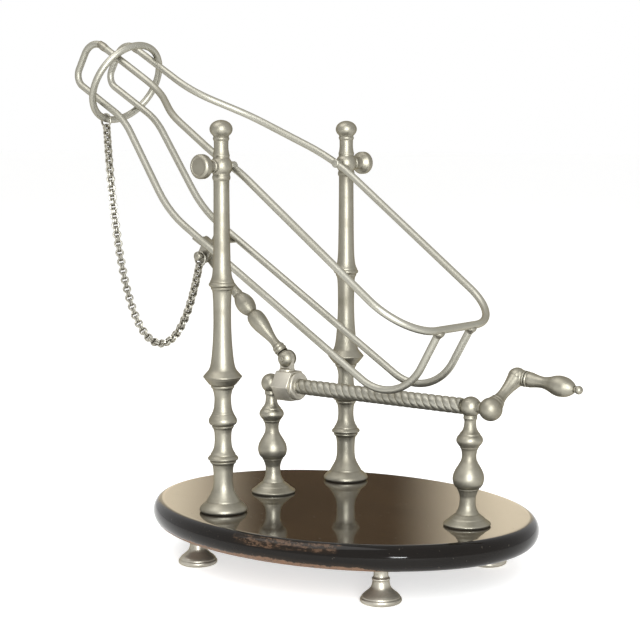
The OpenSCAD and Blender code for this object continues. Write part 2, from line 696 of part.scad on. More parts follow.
// The end rings hang from the slip ring and the rivet, and the links run between them
chain_l = (link_count - 1) * link_pitch;
ring_slack_high = end_ring_r - end_wire_d / 2 - wire_r - link_gap;
ring_slack_low = end_ring_r - end_wire_d / 2 - link_pin_d / 2 - link_gap;
link_slack = end_ring_r - end_wire_d / 2 - link_wire_d - link_gap + link_wire_r + link_r;
rough_l = chain_l + ring_slack_high + ring_slack_low + 2 * link_slack;
fall_dir = hang_dir(ring_foot, rivet_place, rough_l, 4);
rise_dir = -hang_dir(ring_foot, rivet_place, rough_l, rough_l - 4);
ring_high = ring_foot + fall_dir * ring_slack_high;
ring_low = rivet_place + rise_dir * ring_slack_low;
link_first = ring_high + fall_dir * link_slack;
link_last = ring_low + rise_dir * link_slack;
bottom_link = round(hang_bottom() / link_pitch);

function hang_bottom() = let (c = hang_a(link_first, link_last, chain_l),
    low = hang_low(link_first, link_last, chain_l)) c * sinh(low / c);

module link_ring(p, dir, quarter, r, d) {
    across = unit(cross(dir, [0, 0, 1]) + [0, 1e-6, 0]);
    framed(p, across, cross(dir, across), dir) rotate([0, 0, quarter ? 90 : 0]) rotate([0, 90, 0])
        rotate_extrude($fn = 48) translate([r, 0]) circle(d = d, $fn = 24);
}

module chain_links(from, to) {
    color(pewter_dark) for (i = [from:to])
        link_ring(hang_point(link_first, link_last, chain_l, i * link_pitch),
            hang_dir(link_first, link_last, chain_l, i * link_pitch), i % 2 == 0, link_r, link_wire_d);
}

module chain_ring_high() {
    color(pewter_dark) link_ring(ring_high, fall_dir, false, end_ring_r, end_wire_d);
}

module chain_ring_low() {
    color(pewter_dark) link_ring(ring_low, rise_dir, false, end_ring_r, end_wire_d);
}

base_board();
foot(-1, -1);  // foot_near_left
foot(1, -1);  // foot_near_right
foot(-1, 1);  // foot_far_left
foot(1, 1);  // foot_far_right
fixing_screws();
post(-1);  // post_near
post(1);  // post_far
baluster(left_x, false);  // baluster_left
baluster(right_x, true);  // baluster_right
lead_screw();
crank_arm();
crank_cross_pin();
grip_spindle();
crank_grip();
travelling_nut();
link_pin_low();
link_arm();
link_pin_high();
upper_bow();
lower_wire(-1);  // lower_wire_near
lower_wire(1);  // lower_wire_far
lug(-1);  // lug_near
lug(1);  // lug_far
lug_rivets();
thumb_screw(-1);  // thumb_screw_near
thumb_screw(1);  // thumb_screw_far
slip_ring();
chain_ring_high();
chain_links(0, bottom_link - 2);  // chain_fall
chain_links(bottom_link - 1, bottom_link + 1);  // chain_bottom
chain_links(bottom_link + 2, link_count - 1);  // chain_rise
chain_ring_low();
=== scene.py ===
"""Looks of a screw-driven pouring cradle: turned pewter, bent wire, a chain and an ebonised board."""

import math

import bmesh
import bpy
from mathutils import Matrix, Vector
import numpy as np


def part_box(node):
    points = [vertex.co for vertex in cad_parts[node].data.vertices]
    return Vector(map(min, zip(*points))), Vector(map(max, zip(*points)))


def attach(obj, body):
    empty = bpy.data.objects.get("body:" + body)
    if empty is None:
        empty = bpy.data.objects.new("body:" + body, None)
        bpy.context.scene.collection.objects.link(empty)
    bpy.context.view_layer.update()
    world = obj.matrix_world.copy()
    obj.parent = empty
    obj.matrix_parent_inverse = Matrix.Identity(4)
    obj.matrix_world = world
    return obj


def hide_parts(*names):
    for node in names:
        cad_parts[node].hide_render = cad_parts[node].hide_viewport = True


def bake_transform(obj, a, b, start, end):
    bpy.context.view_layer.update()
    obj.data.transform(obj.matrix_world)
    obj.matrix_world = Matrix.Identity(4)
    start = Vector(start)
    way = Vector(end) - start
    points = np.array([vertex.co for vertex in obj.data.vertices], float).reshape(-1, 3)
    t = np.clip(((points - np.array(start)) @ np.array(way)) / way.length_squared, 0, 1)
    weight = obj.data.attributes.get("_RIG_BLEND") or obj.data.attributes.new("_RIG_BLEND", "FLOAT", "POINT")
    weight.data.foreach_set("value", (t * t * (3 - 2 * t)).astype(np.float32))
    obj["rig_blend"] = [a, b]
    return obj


bl_info = {
    "name": "Pouring Cradle",
    "version": (1, 0, 0),
    "blender": (4, 5, 0),
    "location": "View3D > Sidebar > Cradle",
    "description": "Builds the finished pieces of a screw-driven pouring cradle round its packed solids",
    "category": "Add Mesh",
}

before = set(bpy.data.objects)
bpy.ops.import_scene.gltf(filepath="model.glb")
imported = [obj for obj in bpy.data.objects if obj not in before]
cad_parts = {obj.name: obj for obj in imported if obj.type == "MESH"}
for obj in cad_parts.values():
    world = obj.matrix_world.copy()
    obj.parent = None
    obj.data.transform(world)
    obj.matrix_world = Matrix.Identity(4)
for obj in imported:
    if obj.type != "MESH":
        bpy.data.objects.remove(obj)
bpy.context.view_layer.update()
MM = 0.001


def middle(node):
    """Middle of a solid's box, in millimetres."""
    low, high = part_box(node)
    return (low + high) / (2 * MM)


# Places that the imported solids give, in millimetres
BOARD_LOW, DECK = (corner.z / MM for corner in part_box("base_board"))
BOARD_HALF = [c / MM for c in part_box("base_board")[1].xy]
POST = [middle(node) for node in ("post_near", "post_far")]
LEFT_X, RIGHT_X = (middle(node).x for node in ("baluster_left", "baluster_right"))
AXIS_Z = middle("lead_screw").z
PIVOT = Vector((POST[0].x, 0, middle("thumb_screw_near").z))
FEET = ("near_left", "near_right", "far_left", "far_right")
SIDES = (("near", -1), ("far", 1))
# A baluster's ball head: its radius, how far it leans outwards, and where the screw's twist ends before it
BALL_R, LEAN, SCREW_END = 5.2, 1.6, 4.7
GRIP_DROOP = math.radians(5.4)
# Places of the moving pieces at rest
NUT_LEFT = LEFT_X + 5.4
NUT_PIN = Vector((-36.4, 0, 105.7))
HUB, HUB_R = Vector((91.65, 0, AXIS_Z)), 5.8
ELBOW, ELBOW_R = Vector((94.65, 19.17, 105.33)), 4.75
CRADLE = Matrix.Translation(PIVOT) @ Matrix.Rotation(math.radians(30), 4, "Y")

# Wires of the cradle, in its own frame: along it (S), across it (Y) and square to it (N)
WIRE_D = 3.9
RAIL_Y, LOW_Y, NECK_Y = 43.35, 14.0, 12.8
HOOP_S, HOOP_N, HOOP_R = 132.5, -14.0, 26.0
HAIRPIN_S, THROAT_S = 148.8, -104.0
JOINT_S = -HAIRPIN_S + 11
RING_S, RING_DROP, RING_R, RING_PLAY = 123.7, 20.0, 23.7, 0.3
# Round room that the wires hold free: height of its axis, its radius between the rails and at the neck
ROOM_N, ROOM_R, NECK_R = -23.3, 40.0, 13.8
LOW_N = ROOM_N - math.sqrt((ROOM_R + WIRE_D / 2) ** 2 - LOW_Y**2)
NECK_LOW_N = ROOM_N - math.sqrt((NECK_R + WIRE_D / 2) ** 2 - NECK_Y**2)
NECK_HIGH_N = -RING_DROP + math.sqrt((RING_R - WIRE_D - RING_PLAY) ** 2 - NECK_Y**2)
# Lugs under the lower rails, and their rivets
LUG_S, LUG_IN, LUG_THICK, LUG_R = 23.4, 2.6, 1.6, 4.0
RIVET_R, RIVET_NECK = 1.2, 3.2
BELLY_S, BELLY_N = -LUG_S - 25.6, LOW_N + 4


def low_rail(s):
    """Height of the lower rails' straight run, along the cradle."""
    return BELLY_N + (LOW_N - BELLY_N) * (s - BELLY_S) / (HOOP_S - BELLY_S)


LUG_N = low_rail(-LUG_S) - 12.1

# Chain between the slip ring and the near rivet
LINK_COUNT, LINK_TWIST = 73, math.radians(40)
# Gaps: from link to link, between the two rings of a link, and inside an end ring
LINK_GAP, PAIR_GAP, RING_GAP = 0.18, 0.04, 0.12
END_RING_R, END_WIRE = 3.6, 1.2
# The chain hangs on the slip ring a little to the near side of its lowest point
HANG_TURN = math.radians(12)
# The chain bows to the near side, clear of the left baluster when the cradle is tipped
CHAIN_BOW = 1.5

# Lamps of the stage: place, target, width and height in metres, power in watts and colour
LAMPS = {
    "front_softbox": ((0.75, -0.80, 0.53), (0, 0, 0.40), (0.7, 1.0), 18.0, (0.98, 1.0, 1.0)),
    "small_softbox": ((0.66, -0.70, 0.19), (0, 0, 0.14), (0.14, 0.09), 2.2, (0.95, 0.98, 1.0)),
    "top_softbox": ((-0.4, -0.6, 1.6), (0, 0, 0.1), (1.2, 1.2), 12.0, (1.0, 0.99, 0.97)),
}
# The camera's place, pitch and heading; the card behind the board faces along the same heading
VIEW_PLACE = (0.5327, -0.6899, 0.2257)
VIEW_PITCH, VIEW_TURN = math.radians(83.65), math.radians(38.4)
VIEW_LENS, VIEW_SENSOR = 95.5, 36.0
CARD_HALF, CARD_FAR, CARD_HIGH = (0.50, 0.25), 0.9, 0.32
FLOOR_HALF = (14.0, 14.0)


def length(label, words, millimetres):
    """A size that a user may change, kept in metres."""
    return bpy.props.FloatProperty(
        name=label, description=words, default=millimetres * MM, unit="LENGTH", precision=4, min=0.0
    )


def tone(label, words, colour):
    """A colour that a user may change."""
    return bpy.props.FloatVectorProperty(
        name=label, description=words, default=colour, subtype="COLOR", size=3, min=0.0, max=1.0
    )


def share(label, words, amount):
    """A plain number between 0 and 1 that a user may change."""
    return bpy.props.FloatProperty(
        name=label, description=words, default=amount, subtype="FACTOR", min=0.0, max=1.0
    )


class CradleSizes(bpy.types.PropertyGroup):
    """Sizes of the finished pieces"""

    wire_d: length("Wire", "Diameter of the cradle's wire", WIRE_D)
    screw_d: length("Lead screw", "Diameter over the twisted ridges", 8.2)
    screw_lead: length("Screw lead", "Travel of the nut in one turn", 12.5)
    groove_depth: length("Groove depth", "Depth of the screw's grooves", 0.65)
    nut_flats: length("Nut", "Width of the nut across its flats", 15.5)
    thumb_d: length("Thumb screw", "Diameter of a thumb screw's disc", 12.3)
    finial_d: length("Finial", "Diameter of a post's ball finial", 11.6)
    ring_r: length("Slip ring", "Radius of the slip ring, to the middle of its wire", RING_R)
    link_r: length("Chain link", "Radius of a chain link, to the middle of its wire", 1.91)
    link_wire_d: length("Chain wire", "Diameter of the chain's wire", 1.0)
    edge_in: length("Board edge", "How far the board's rounded edge reaches in", 5.5)


class CradleFinish(bpy.types.PropertyGroup):
    """Colours of the finished pieces"""

    pewter: tone("Pewter", "Rubbed metal of the turned pieces", (0.262, 0.248, 0.204))
    pewter_dark: tone("Pewter in the grooves", "Dull metal in the grooves", (0.120, 0.106, 0.076))
    # Pale pewter is partly duller metal and partly painted light: it is paler so that the feet and the nut
    # look lit
    pale: tone("Pale pewter", "Dulled metal of the feet and the nut", (0.430, 0.407, 0.350))
    wire: tone("Wire", "Metal of the bent wires", (0.352, 0.342, 0.296))
    wire_dark: tone("Wire, dulled", "Dulled patches of the wires", (0.220, 0.210, 0.165))
    braze: tone("Braze", "Solder at the wires' joints", (0.300, 0.285, 0.240))
    chain: tone("Chain", "Metal of the chain", (0.400, 0.386, 0.338))
    steel: tone("Steel", "Metal of the screws under the board", (0.42, 0.41, 0.39))
    steel_dark: tone("Steel, dulled", "Dulled patches of the steel", (0.20, 0.17, 0.13))
    lacquer: tone("Lacquer", "Black stain of the board", (0.0070, 0.0055, 0.0045))
    lacquer_brown: tone("Lacquer, worn thin", "Brown where the stain is thin", (0.030, 0.018, 0.009))
    bare_wood: tone("Bare wood", "Wood where the edge is rubbed through", (0.300, 0.175, 0.108))
    floor: tone("Floor", "Pale floor", (0.86, 0.86, 0.85))
    wear: share("Wear", "How far the board's edge is rubbed through", 0.58)


def sizes():
    """The sizes in use."""
    return bpy.context.scene.cradle_sizes


def colours():
    """The colours in use."""
    return bpy.context.scene.cradle_finish


# Shader nodes


class Wiring:
    """Adds nodes to one tree and joins their sockets."""

    def __init__(self, tree):
        self.tree = tree

    def add(self, kind, inputs=None, **settings):
        """A new node with its settings and inputs."""
        made = self.tree.nodes.new(kind)
        for name, value in settings.items():
            setattr(made, name, value)
        for name, value in (inputs or {}).items():
            self.feed(made.inputs[name], value)
        return made

    def feed(self, socket, value):
        """Gives an input a link, or a plain value."""
        if isinstance(value, bpy.types.NodeSocket):
            self.tree.links.new(value, socket)
        elif socket.type == "RGBA" and len(value) == 3:
            socket.default_value = (*value, 1.0)
        else:
            socket.default_value = value

    def maths(self, operation, first, second=0.0, clamp=False):
        """One step of arithmetic."""
        made = self.add("ShaderNodeMath", {0: first, 1: second}, operation=operation, use_clamp=clamp)
        return made.outputs[0]

    def times(self, first, second, clamp=False):
        """Product of two values."""
        return self.maths("MULTIPLY", first, second, clamp)

    def plus(self, first, second, clamp=False):
        """Sum of two values."""
        return self.maths("ADD", first, second, clamp)

    def larger(self, first, second):
        """The larger of two values."""
        return self.maths("MAXIMUM", first, second)

    def seen(self):
        """1 for what the camera sees, straight or in a reflection, and 0 for light that falls on things."""
        path = self.add("ShaderNodeLightPath").outputs
        straight = self.larger(path["Is Camera Ray"], path["Is Glossy Ray"])
        return self.larger(straight, path["Is Transmission Ray"])

    def between(self, value, low, high, to_low=0.0, to_high=1.0):
        """A smooth step of a value from one range to another."""
        made = self.add(
            "ShaderNodeMapRange",
            {"Value": value, "From Min": low, "From Max": high, "To Min": to_low, "To Max": to_high},
            interpolation_type="SMOOTHSTEP",
        )
        return made.outputs["Result"]

    def blend(self, mask, first, second):
        """One colour where the mask is 0, the other where it is 1."""
        made = self.add("ShaderNodeMix", {0: mask, 6: first, 7: second}, data_type="RGBA")
        return made.outputs[2]

    def attribute(self, name):
        """A value stored on the mesh."""
        return self.add("ShaderNodeAttribute", attribute_name=name).outputs["Fac"]

    def noise(self, vector, scale, detail=3.0, rough=0.55):
        """Soft noise between 0 and 1."""
        inputs = {"Vector": vector, "Scale": scale, "Detail": detail, "Roughness": rough}
        return self.add("ShaderNodeTexNoise", inputs).outputs["Fac"]

    def stretched(self, scale):
        """Object coordinates, drawn out along an axis."""
        place = self.add("ShaderNodeTexCoord").outputs["Object"]
        return self.add("ShaderNodeMapping", {"Vector": place, "Scale": scale}).outputs["Vector"]


def new_group(name, inputs, outputs):
    """An empty shader group with named float sockets."""
    tree = bpy.data.node_groups.new(name, "ShaderNodeTree")
    for label, start in inputs:
        tree.interface.new_socket(label, in_out="INPUT", socket_type="NodeSocketFloat").default_value = start
    for label in outputs:
        tree.interface.new_socket(label, in_out="OUTPUT", socket_type="NodeSocketFloat")
    wiring = Wiring(tree)
    return wiring, wiring.add("NodeGroupInput").outputs, wiring.add("NodeGroupOutput").inputs


def group(name):
    """The shader group of that name, built once."""
    return bpy.data.node_groups.get(name) or GROUPS[name](name)


def patina_group(name):
    """Dull bloom in the grooves, soft blotches and fine pits of old pewter."""
    w, given, out = new_group(
        name, [
            ("Blotch Scale", 60.0), ("Groove Reach", 0.8), ("Blotch Reach", 0.5),
        ], ["Dull", "Sheen", "Height"]
    )
    place = w.stretched((1, 1, 1))
    blotch = w.between(w.noise(place, given["Blotch Scale"], 4.0, 0.6), 0.42, 0.72)
    fine = w.noise(place, 700.0, 2.0, 0.5)
    pits = w.between(w.noise(place, 380.0, 3.0, 0.7), 0.63, 0.76)
    recess = w.larger(w.attribute("groove"), 0.0)
    ragged = w.times(recess, w.between(w.noise(place, 220.0), 0.25, 0.6, 0.55, 1.0))
    dull = w.times(ragged, given["Groove Reach"])
    dull = w.plus(dull, w.times(blotch, given["Blotch Reach"]))
    dull = w.plus(dull, w.times(pits, 0.12), clamp=True)
    w.feed(out["Dull"], dull)
    w.feed(out["Sheen"], w.plus(w.times(blotch, 0.6), w.times(fine, 0.4)))
    w.feed(out["Height"], w.maths("SUBTRACT", w.times(fine, 0.12), pits))
    return w.tree


def turning_group(name):
    """Fine rings that a lathe tool leaves, along a piece's own axis."""
    w, given, out = new_group(name, [("Pitch", 3.0), ("Depth", 1.0)], ["Height"])
    along = w.times(w.attribute("along"), given["Pitch"])
    inputs = {"W": along, "Scale": 1.0, "Detail": 3.0}
    rings = w.add("ShaderNodeTexNoise", inputs, noise_dimensions="1D").outputs["Fac"]
    broken = w.between(w.noise(w.stretched((1, 1, 1)), 140.0), 0.3, 0.7, 0.35, 1.0)
    w.feed(out["Height"], w.times(w.times(rings, broken), given["Depth"]))
    return w.tree


def scuff_group(name):
    """Short scratches in two directions."""
    w, given, out = new_group(name, [("Amount", 0.5)], ["Scuff"])
    first = w.noise(w.stretched((900, 40, 300)), 1.0, 2.0)
    second = w.noise(w.stretched((60, 800, 500)), 1.0, 2.0)
    lines = w.larger(w.between(first, 0.66, 0.74), w.between(second, 0.67, 0.75))
    w.feed(out["Scuff"], w.times(lines, given["Amount"], clamp=True))
    return w.tree


def rub_group(name):
    """Ragged wear of the board's rounded edge: along its foot, and in flakes at its front shoulder."""
    w, given, out = new_group(name, [("Wear", 0.5)], ["Bare", "Thin", "Edge"])
    place = w.stretched((1, 1, 1))
    axes = w.add("ShaderNodeSeparateXYZ", {"Vector": place}).outputs
    rim = w.attribute("rim")
    front = w.between(axes["Y"], -0.02, -0.05)
    foot_side = w.times(front, w.between(axes["X"], 0.078, 0.060))
    foot_side = w.larger(foot_side, w.between(axes["Y"], 0.0, 0.06, 0.0, 0.55))
    flake_side = w.times(front, w.between(axes["X"], -0.022, 0.004))
    flake_side = w.times(flake_side, w.between(axes["X"], 0.066, 0.050))
    broad = w.noise(place, 34.0, 3.0, 0.6)
    ragged = w.noise(place, 330.0, 4.0, 0.7)
    level = w.plus(w.times(broad, 0.9), w.times(ragged, 0.55))
    level = w.times(w.times(level, foot_side), w.times(given["Wear"], 1.2))
    depth = w.maths("SUBTRACT", w.maths("SUBTRACT", level, 1.07), rim)
    foot = w.between(depth, -0.02, 0.10)
    streaks = w.noise(w.stretched((70, 70, 520)), 1.0, 5.0, 0.72)
    shoulder = w.times(w.between(rim, -0.15, 0.45), w.between(rim, 0.99, 0.90))
    flakes = w.plus(w.times(streaks, 0.7), w.times(broad, 0.5))
    flakes = w.times(w.times(flakes, shoulder), flake_side)
    high = w.between(flakes, 0.50, 0.62)
    pecked = w.between(ragged, 0.30, 0.46)
    crumbs = w.between(w.noise(w.stretched((300, 300, 620)), 1.0, 4.0, 0.7), 0.46, 0.58, 0.0, 0.55)
    w.feed(out["Bare"], w.larger(w.times(foot, pecked), w.times(high, crumbs)))
    w.feed(out["Thin"], w.larger(w.between(depth, -0.5, 0.1), w.between(flakes, 0.40, 0.66)))
    w.feed(out["Edge"], w.between(rim, 1.0, 0.97))
    return w.tree


def grain_group(name):
    """Drawn-out wood grain along the board."""
    w, given, out = new_group(name, [("Scale", 1.0)], ["Grain", "Pore"])
    place = w.stretched((14, 190, 120))
    w.feed(out["Grain"], w.noise(place, given["Scale"], 5.0, 0.6))
    pores = w.noise(w.stretched((60, 1500, 900)), given["Scale"], 2.0)
    w.feed(out["Pore"], w.between(pores, 0.60, 0.72))
    return w.tree


GROUPS = {
    "Patina": patina_group,
    "Turning lines": turning_group,
    "Scuffs": scuff_group,
    "Rub-through": rub_group,
    "Wood grain": grain_group,
}


def new_material(name):
    """A material with an empty tree, its wiring and its surface shader."""
    made = bpy.data.materials.new(name)
    made.use_nodes = True
    made.node_tree.nodes.clear()
    w = Wiring(made.node_tree)
    shader = w.add("ShaderNodeBsdfPrincipled")
    w.add("ShaderNodeOutputMaterial", {"Surface": shader.outputs["BSDF"]})
    return made, w, shader


def use_group(w, name, **values):
    """A shader group placed in a tree with its own values; gives its outputs."""
    made = w.add("ShaderNodeGroup", node_tree=group(name))
    for label, value in values.items():
        w.feed(made.inputs[label.replace("_", " ").title()], value)
    return made.outputs


def metal(name, clean, dull, rough, blotch, pitch=0.0, scuffs=0.25, groove=0.8, bloom=0.5, solid=0.94):
    """Satin metal: dull in its grooves, with lathe rings or scuffs over it."""
    made, w, shader = new_material(name)
    clean, dull = (tuple(getattr(colours(), tint)) for tint in (clean, dull))
    patina = use_group(w, "Patina", blotch_scale=blotch, groove_reach=groove, blotch_reach=bloom)
    scuff = use_group(w, "Scuffs", amount=scuffs)["Scuff"]
    colour = w.blend(patina["Dull"], clean, dull)
    bright = tuple(min(1.0, c * 1.22) for c in clean)
    w.feed(shader.inputs["Base Color"], w.blend(scuff, colour, bright))
    satin = w.between(patina["Sheen"], 0.1, 0.8, *rough)
    w.feed(shader.inputs["Roughness"], w.plus(satin, w.times(scuff, -0.08)))
    height = w.times(patina["Height"], 0.5)
    if pitch:
        height = w.plus(height, use_group(w, "Turning lines", pitch=pitch, depth=0.5)["Height"])
    bump = w.add("ShaderNodeBump", {"Height": height, "Strength": 0.10, "Distance": 0.0002})
    w.feed(shader.inputs["Normal"], bump.outputs["Normal"])
    w.feed(shader.inputs["Metallic"], w.between(patina["Dull"], 0.0, 1.0, solid, solid * 0.7))
    shader.inputs["Specular Tint"].default_value = (0.46, 0.40, 0.27, 1.0)
    return made


def board_material(name):
    """Black lacquer over wood, thin and brown in places and rubbed through along the edge."""
    made, w, shader = new_material(name)
    c = colours()
    rub = use_group(w, "Rub-through", wear=c.wear)
    grain = use_group(w, "Wood grain", scale=1.0)
    place = w.stretched((1, 1, 1))
    cloud = w.between(w.noise(w.stretched((1.0, 2.6, 1.0)), 18.0, 4.0), 0.36, 0.66, 0.3, 1.0)
    inner = w.times(cloud, w.between(rub["Edge"], 0.0, 1.0, 1.0, 0.1))
    thin = w.larger(w.times(rub["Thin"], 0.7), inner)
    stain = w.blend(thin, tuple(c.lacquer), tuple(c.lacquer_brown))
    dark_wood = tuple(x * 0.5 for x in c.bare_wood)
    wood = w.blend(grain["Grain"], dark_wood, tuple(c.bare_wood))
    specks = w.between(w.noise(place, 560.0, 1.0, 0.4), 0.735, 0.775)
    dusty = w.blend(w.times(specks, 0.15), stain, (0.30, 0.26, 0.20))
    w.feed(shader.inputs["Base Color"], w.blend(rub["Bare"], dusty, wood))
    smear = w.noise(w.stretched((1.0, 3.0, 1.0)), 30.0, 4.0, 0.6)
    rough = w.between(smear, 0.35, 0.70, 0.07, 0.15)
    rough = w.plus(rough, w.times(rub["Edge"], -0.02))
    rough = w.plus(rough, w.times(rub["Bare"], 0.45))
    w.feed(shader.inputs["Roughness"], w.plus(rough, w.times(specks, 0.2)))
    pores = w.times(grain["Pore"], rub["Bare"])
    height = w.maths("SUBTRACT", w.times(pores, -0.4), rub["Bare"])
    height = w.plus(height, w.times(specks, 0.15))
    height = w.plus(height, w.times(w.noise(place, 24.0, 2.0), 0.30))
    bump = w.add("ShaderNodeBump", {"Height": height, "Strength": 0.25, "Distance": 0.0002})
    w.feed(shader.inputs["Normal"], bump.outputs["Normal"])
    shader.inputs["IOR"].default_value = 1.27
    w.feed(shader.inputs["Coat Weight"], w.between(rub["Edge"], 0.0, 1.0, 1.0, 0.0))
    shader.inputs["Coat IOR"].default_value = 1.6
    shader.inputs["Coat Roughness"].default_value = 0.06
    return made


def card_material(name):
    """Cream card of the stage, dark brown in its middle and faded out towards its sides. It glows though it
    is no lamp: a painted reflection for the lacquer and the metal, with a painted dark reflection in its
    middle.
    """
    made, w, shader = new_material(name)
    across = w.add("ShaderNodeSeparateXYZ", {"Vector": w.stretched((1, 1, 1))}).outputs["X"]
    far = w.maths("ABSOLUTE", across)
    colour = w.blend(w.between(far, 0.06, 0.20), (0.060, 0.036, 0.016), (0.95, 0.81, 0.60))
    w.feed(shader.inputs["Base Color"], colour)
    # Painted light: the card glows in its own colours though it is no lamp
    w.feed(shader.inputs["Emission Color"], colour)
    shader.inputs["Emission Strength"].default_value = 0.24
    shader.inputs["Roughness"].default_value = 0.9
    w.feed(shader.inputs["Alpha"], w.between(far, 0.50, 0.30))
    return made


def floor_material(name):
    """Pale floor that keeps the shadows, and shows white where nothing shades it."""
    made, w, shader = new_material(name)
    w.feed(shader.inputs["Base Color"], (*colours().floor,))
    shader.inputs["Roughness"].default_value = 0.9
    shader.inputs["Specular IOR Level"].default_value = 0.1
    shader.inputs["Emission Color"].default_value = (1, 1, 1, 1)
    w.feed(shader.inputs["Emission Strength"], w.times(w.seen(), 0.58))
    return made


# Metals: their clean and dull colours, roughness, scale of the blotches, and what differs from the usual
METALS = {
    "turned_pewter": ("pewter", "pewter_dark", (0.42, 0.52), 55.0, {"pitch": 2.6, "groove": 0.55}),
    # Feet and nut: duller metal, with a paler colour painted as light falling on them
    "pale_pewter": ("pale", "pewter_dark", (0.36, 0.48), 80.0, {"pitch": 2.6, "groove": 0.7, "solid": 0.85}),
    "screw_pewter": ("wire", "pewter_dark", (0.40, 0.50), 70.0, {"scuffs": 0.2}),
    "wire_pewter": ("wire", "wire_dark", (0.41, 0.51), 38.0, {"bloom": 0.4, "scuffs": 0.03}),
    "braze_pewter": ("braze", "pewter_dark", (0.38, 0.55), 160.0, {"bloom": 0.8, "scuffs": 0.15}),
    "chain_pewter": ("chain", "pewter_dark", (0.24, 0.36), 90.0, {"groove": 1.0, "bloom": 0.35}),
    "screw_steel": ("steel", "steel_dark", (0.35, 0.55), 200.0, {"bloom": 0.7}),
}
OTHERS = {"black_lacquer": board_material, "pale_floor": floor_material, "dark_card": card_material}


def finish(name):
    """The material of that name, built once."""
    ready = bpy.data.materials.get(name)
    if ready:
        return ready
    if name in METALS:
        *setting, extras = METALS[name]
        return metal(name, *setting, **extras)
    return OTHERS[name](name)


# Shapes


def new_mesh():
    """A bmesh in millimetres, with the layers that the finishes read."""
    bm = bmesh.new()
    for layer in ("groove", "along", "rim"):
        bm.verts.layers.float.new(layer)
    return bm


def outline(points):
    """A turned outline: a smooth curve through (height, radius) stations that never overshoots them."""
    steps = [(z1 - z0, r1 - r0) for (z0, r0), (z1, r1) in zip(points, points[1:])]
    slopes = [dr / dz for dz, dr in steps]
    leans = [slopes[0]]
    for before, after in zip(slopes, slopes[1:]):
        leans.append(2 * before * after / (before + after) if before * after > 0 else 0.0)
    leans.append(slopes[-1])
    made = []
    for i, ((z, r), (dz, dr)) in enumerate(zip(points, steps)):
        count = max(3, min(10, round(math.hypot(dz, dr) / 0.5)))
        for k in range(count):
            t = k / count
            pull = t * (1 - t) * dz * (leans[i] * (1 - t) - leans[i + 1] * t)
            made.append((z + dz * t, r + dr * t * t * (3 - 2 * t) + pull))
    made.append(tuple(points[-1]))
    return made


def raised(base, stations):
    """Stations whose heights count from a base."""
    return [(base + z, r) for z, r in stations]


def arc(z, radius, high, low_angle, high_angle, steps=12):
    """Stations on a ball, or on a flattened one."""
    made = []
    for k in range(steps + 1):
        a = math.radians(low_angle + (high_angle - low_angle) * k / steps)
        made.append((z + high * math.sin(a), radius * math.cos(a)))
    return made


def recess_of(profile, reach=0.7):
    """How sharply each station bends inwards, for the dull bloom in the grooves."""
    points = [Vector(p) for p in profile]
    along = [0.0]
    for first, second in zip(points, points[1:]):
        along.append(along[-1] + (second - first).length)
    made = []
    for here, at in zip(points, along):
        before, after = (point_along(points, along, at + side * reach) for side in (-1, 1))
        way = (after - before).normalized()
        outward = Vector((-way.y, way.x))
        bend = ((before + after) / 2 - here).dot(outward)
        made.append(max(-1.0, min(1.0, bend / 0.34)))
    return made


def point_along(points, along, at):
    """The point of a drawn-out line at a length from its start."""
    at = max(0.0, min(along[-1], at))
    for k in range(1, len(points)):
        if along[k] >= at:
            step = along[k] - along[k - 1]
            return points[k - 1].lerp(points[k], (at - along[k - 1]) / step if step else 0.0)
    return points[-1]


def revolve(bm, geom, steps):
    """Spins geometry all the way round the Z axis."""
    bmesh.ops.spin(
        bm, geom=geom, cent=(0, 0, 0), axis=(0, 0, 1), angle=math.tau, steps=steps, use_merge=True
    )


def lathe(bm, profile, place=Matrix.Identity(4), segments=64):
    """A turned solid on its own axis, put in its place."""
    groove, along = (bm.verts.layers.float[n] for n in ("groove", "along"))
    profile = [(profile[0][0], 0.0), *profile, (profile[-1][0], 0.0)]
    dips = recess_of(profile)
    points = []
    for (z, r), dip in zip(profile, dips):
        v = bm.verts.new((r, 0, z))
        v[groove], v[along] = dip, z
        points.append(v)
    edges = [bm.edges.new(pair) for pair in zip(points, points[1:])]
    before = set(bm.verts) - set(points)
    revolve(bm, points + edges, segments)
    fresh = [v for v in bm.verts if v not in before]
    bmesh.ops.remove_doubles(bm, verts=fresh, dist=1e-5)
    fresh = [v for v in bm.verts if v not in before]
    bmesh.ops.transform(bm, matrix=place, verts=fresh)


def turned(point, axis, quarters=1):
    """A place at a point, turned by quarter turns about an axis."""
    return Matrix.Translation(point) @ Matrix.Rotation(quarters * math.pi / 2, 4, axis)


def frame_at(point, heading, side=(0, 1, 0)):
    """A frame at a point whose Z runs along a heading."""
    z = Vector(heading).normalized()
    x = Vector(side).cross(z)
    if x.length < 1e-4:
        x = Vector((1, 0, 0)).cross(z)
    x.normalize()
    y = z.cross(x)
    return Matrix.Translation(point) @ Matrix((x, y, z)).transposed().to_4x4()


def edges_in(geom):
    """The edges among the geometry that an operator gives."""
    return [e for e in geom if isinstance(e, bmesh.types.BMEdge)]


def circle(bm, radius, segments, place=Matrix.Identity(4)):
    """Vertices of an open ring."""
    made = bmesh.ops.create_circle(bm, cap_ends=False, segments=segments, radius=radius, matrix=place)
    return made["verts"]


def edges_of(verts):
    """The edges that meet at these vertices."""
    return list({e for v in verts for e in v.link_edges})


def drawn_on(bm, edges):
    """A ring of edges extruded in place: the new ring's edges and vertices."""
    made = bmesh.ops.extrude_edge_only(bm, edges=edges)["geom"]
    verts = [v for v in made if isinstance(v, bmesh.types.BMVert)]
    return [e for e in edges_in(made) if all(v in verts for v in e.verts)], verts


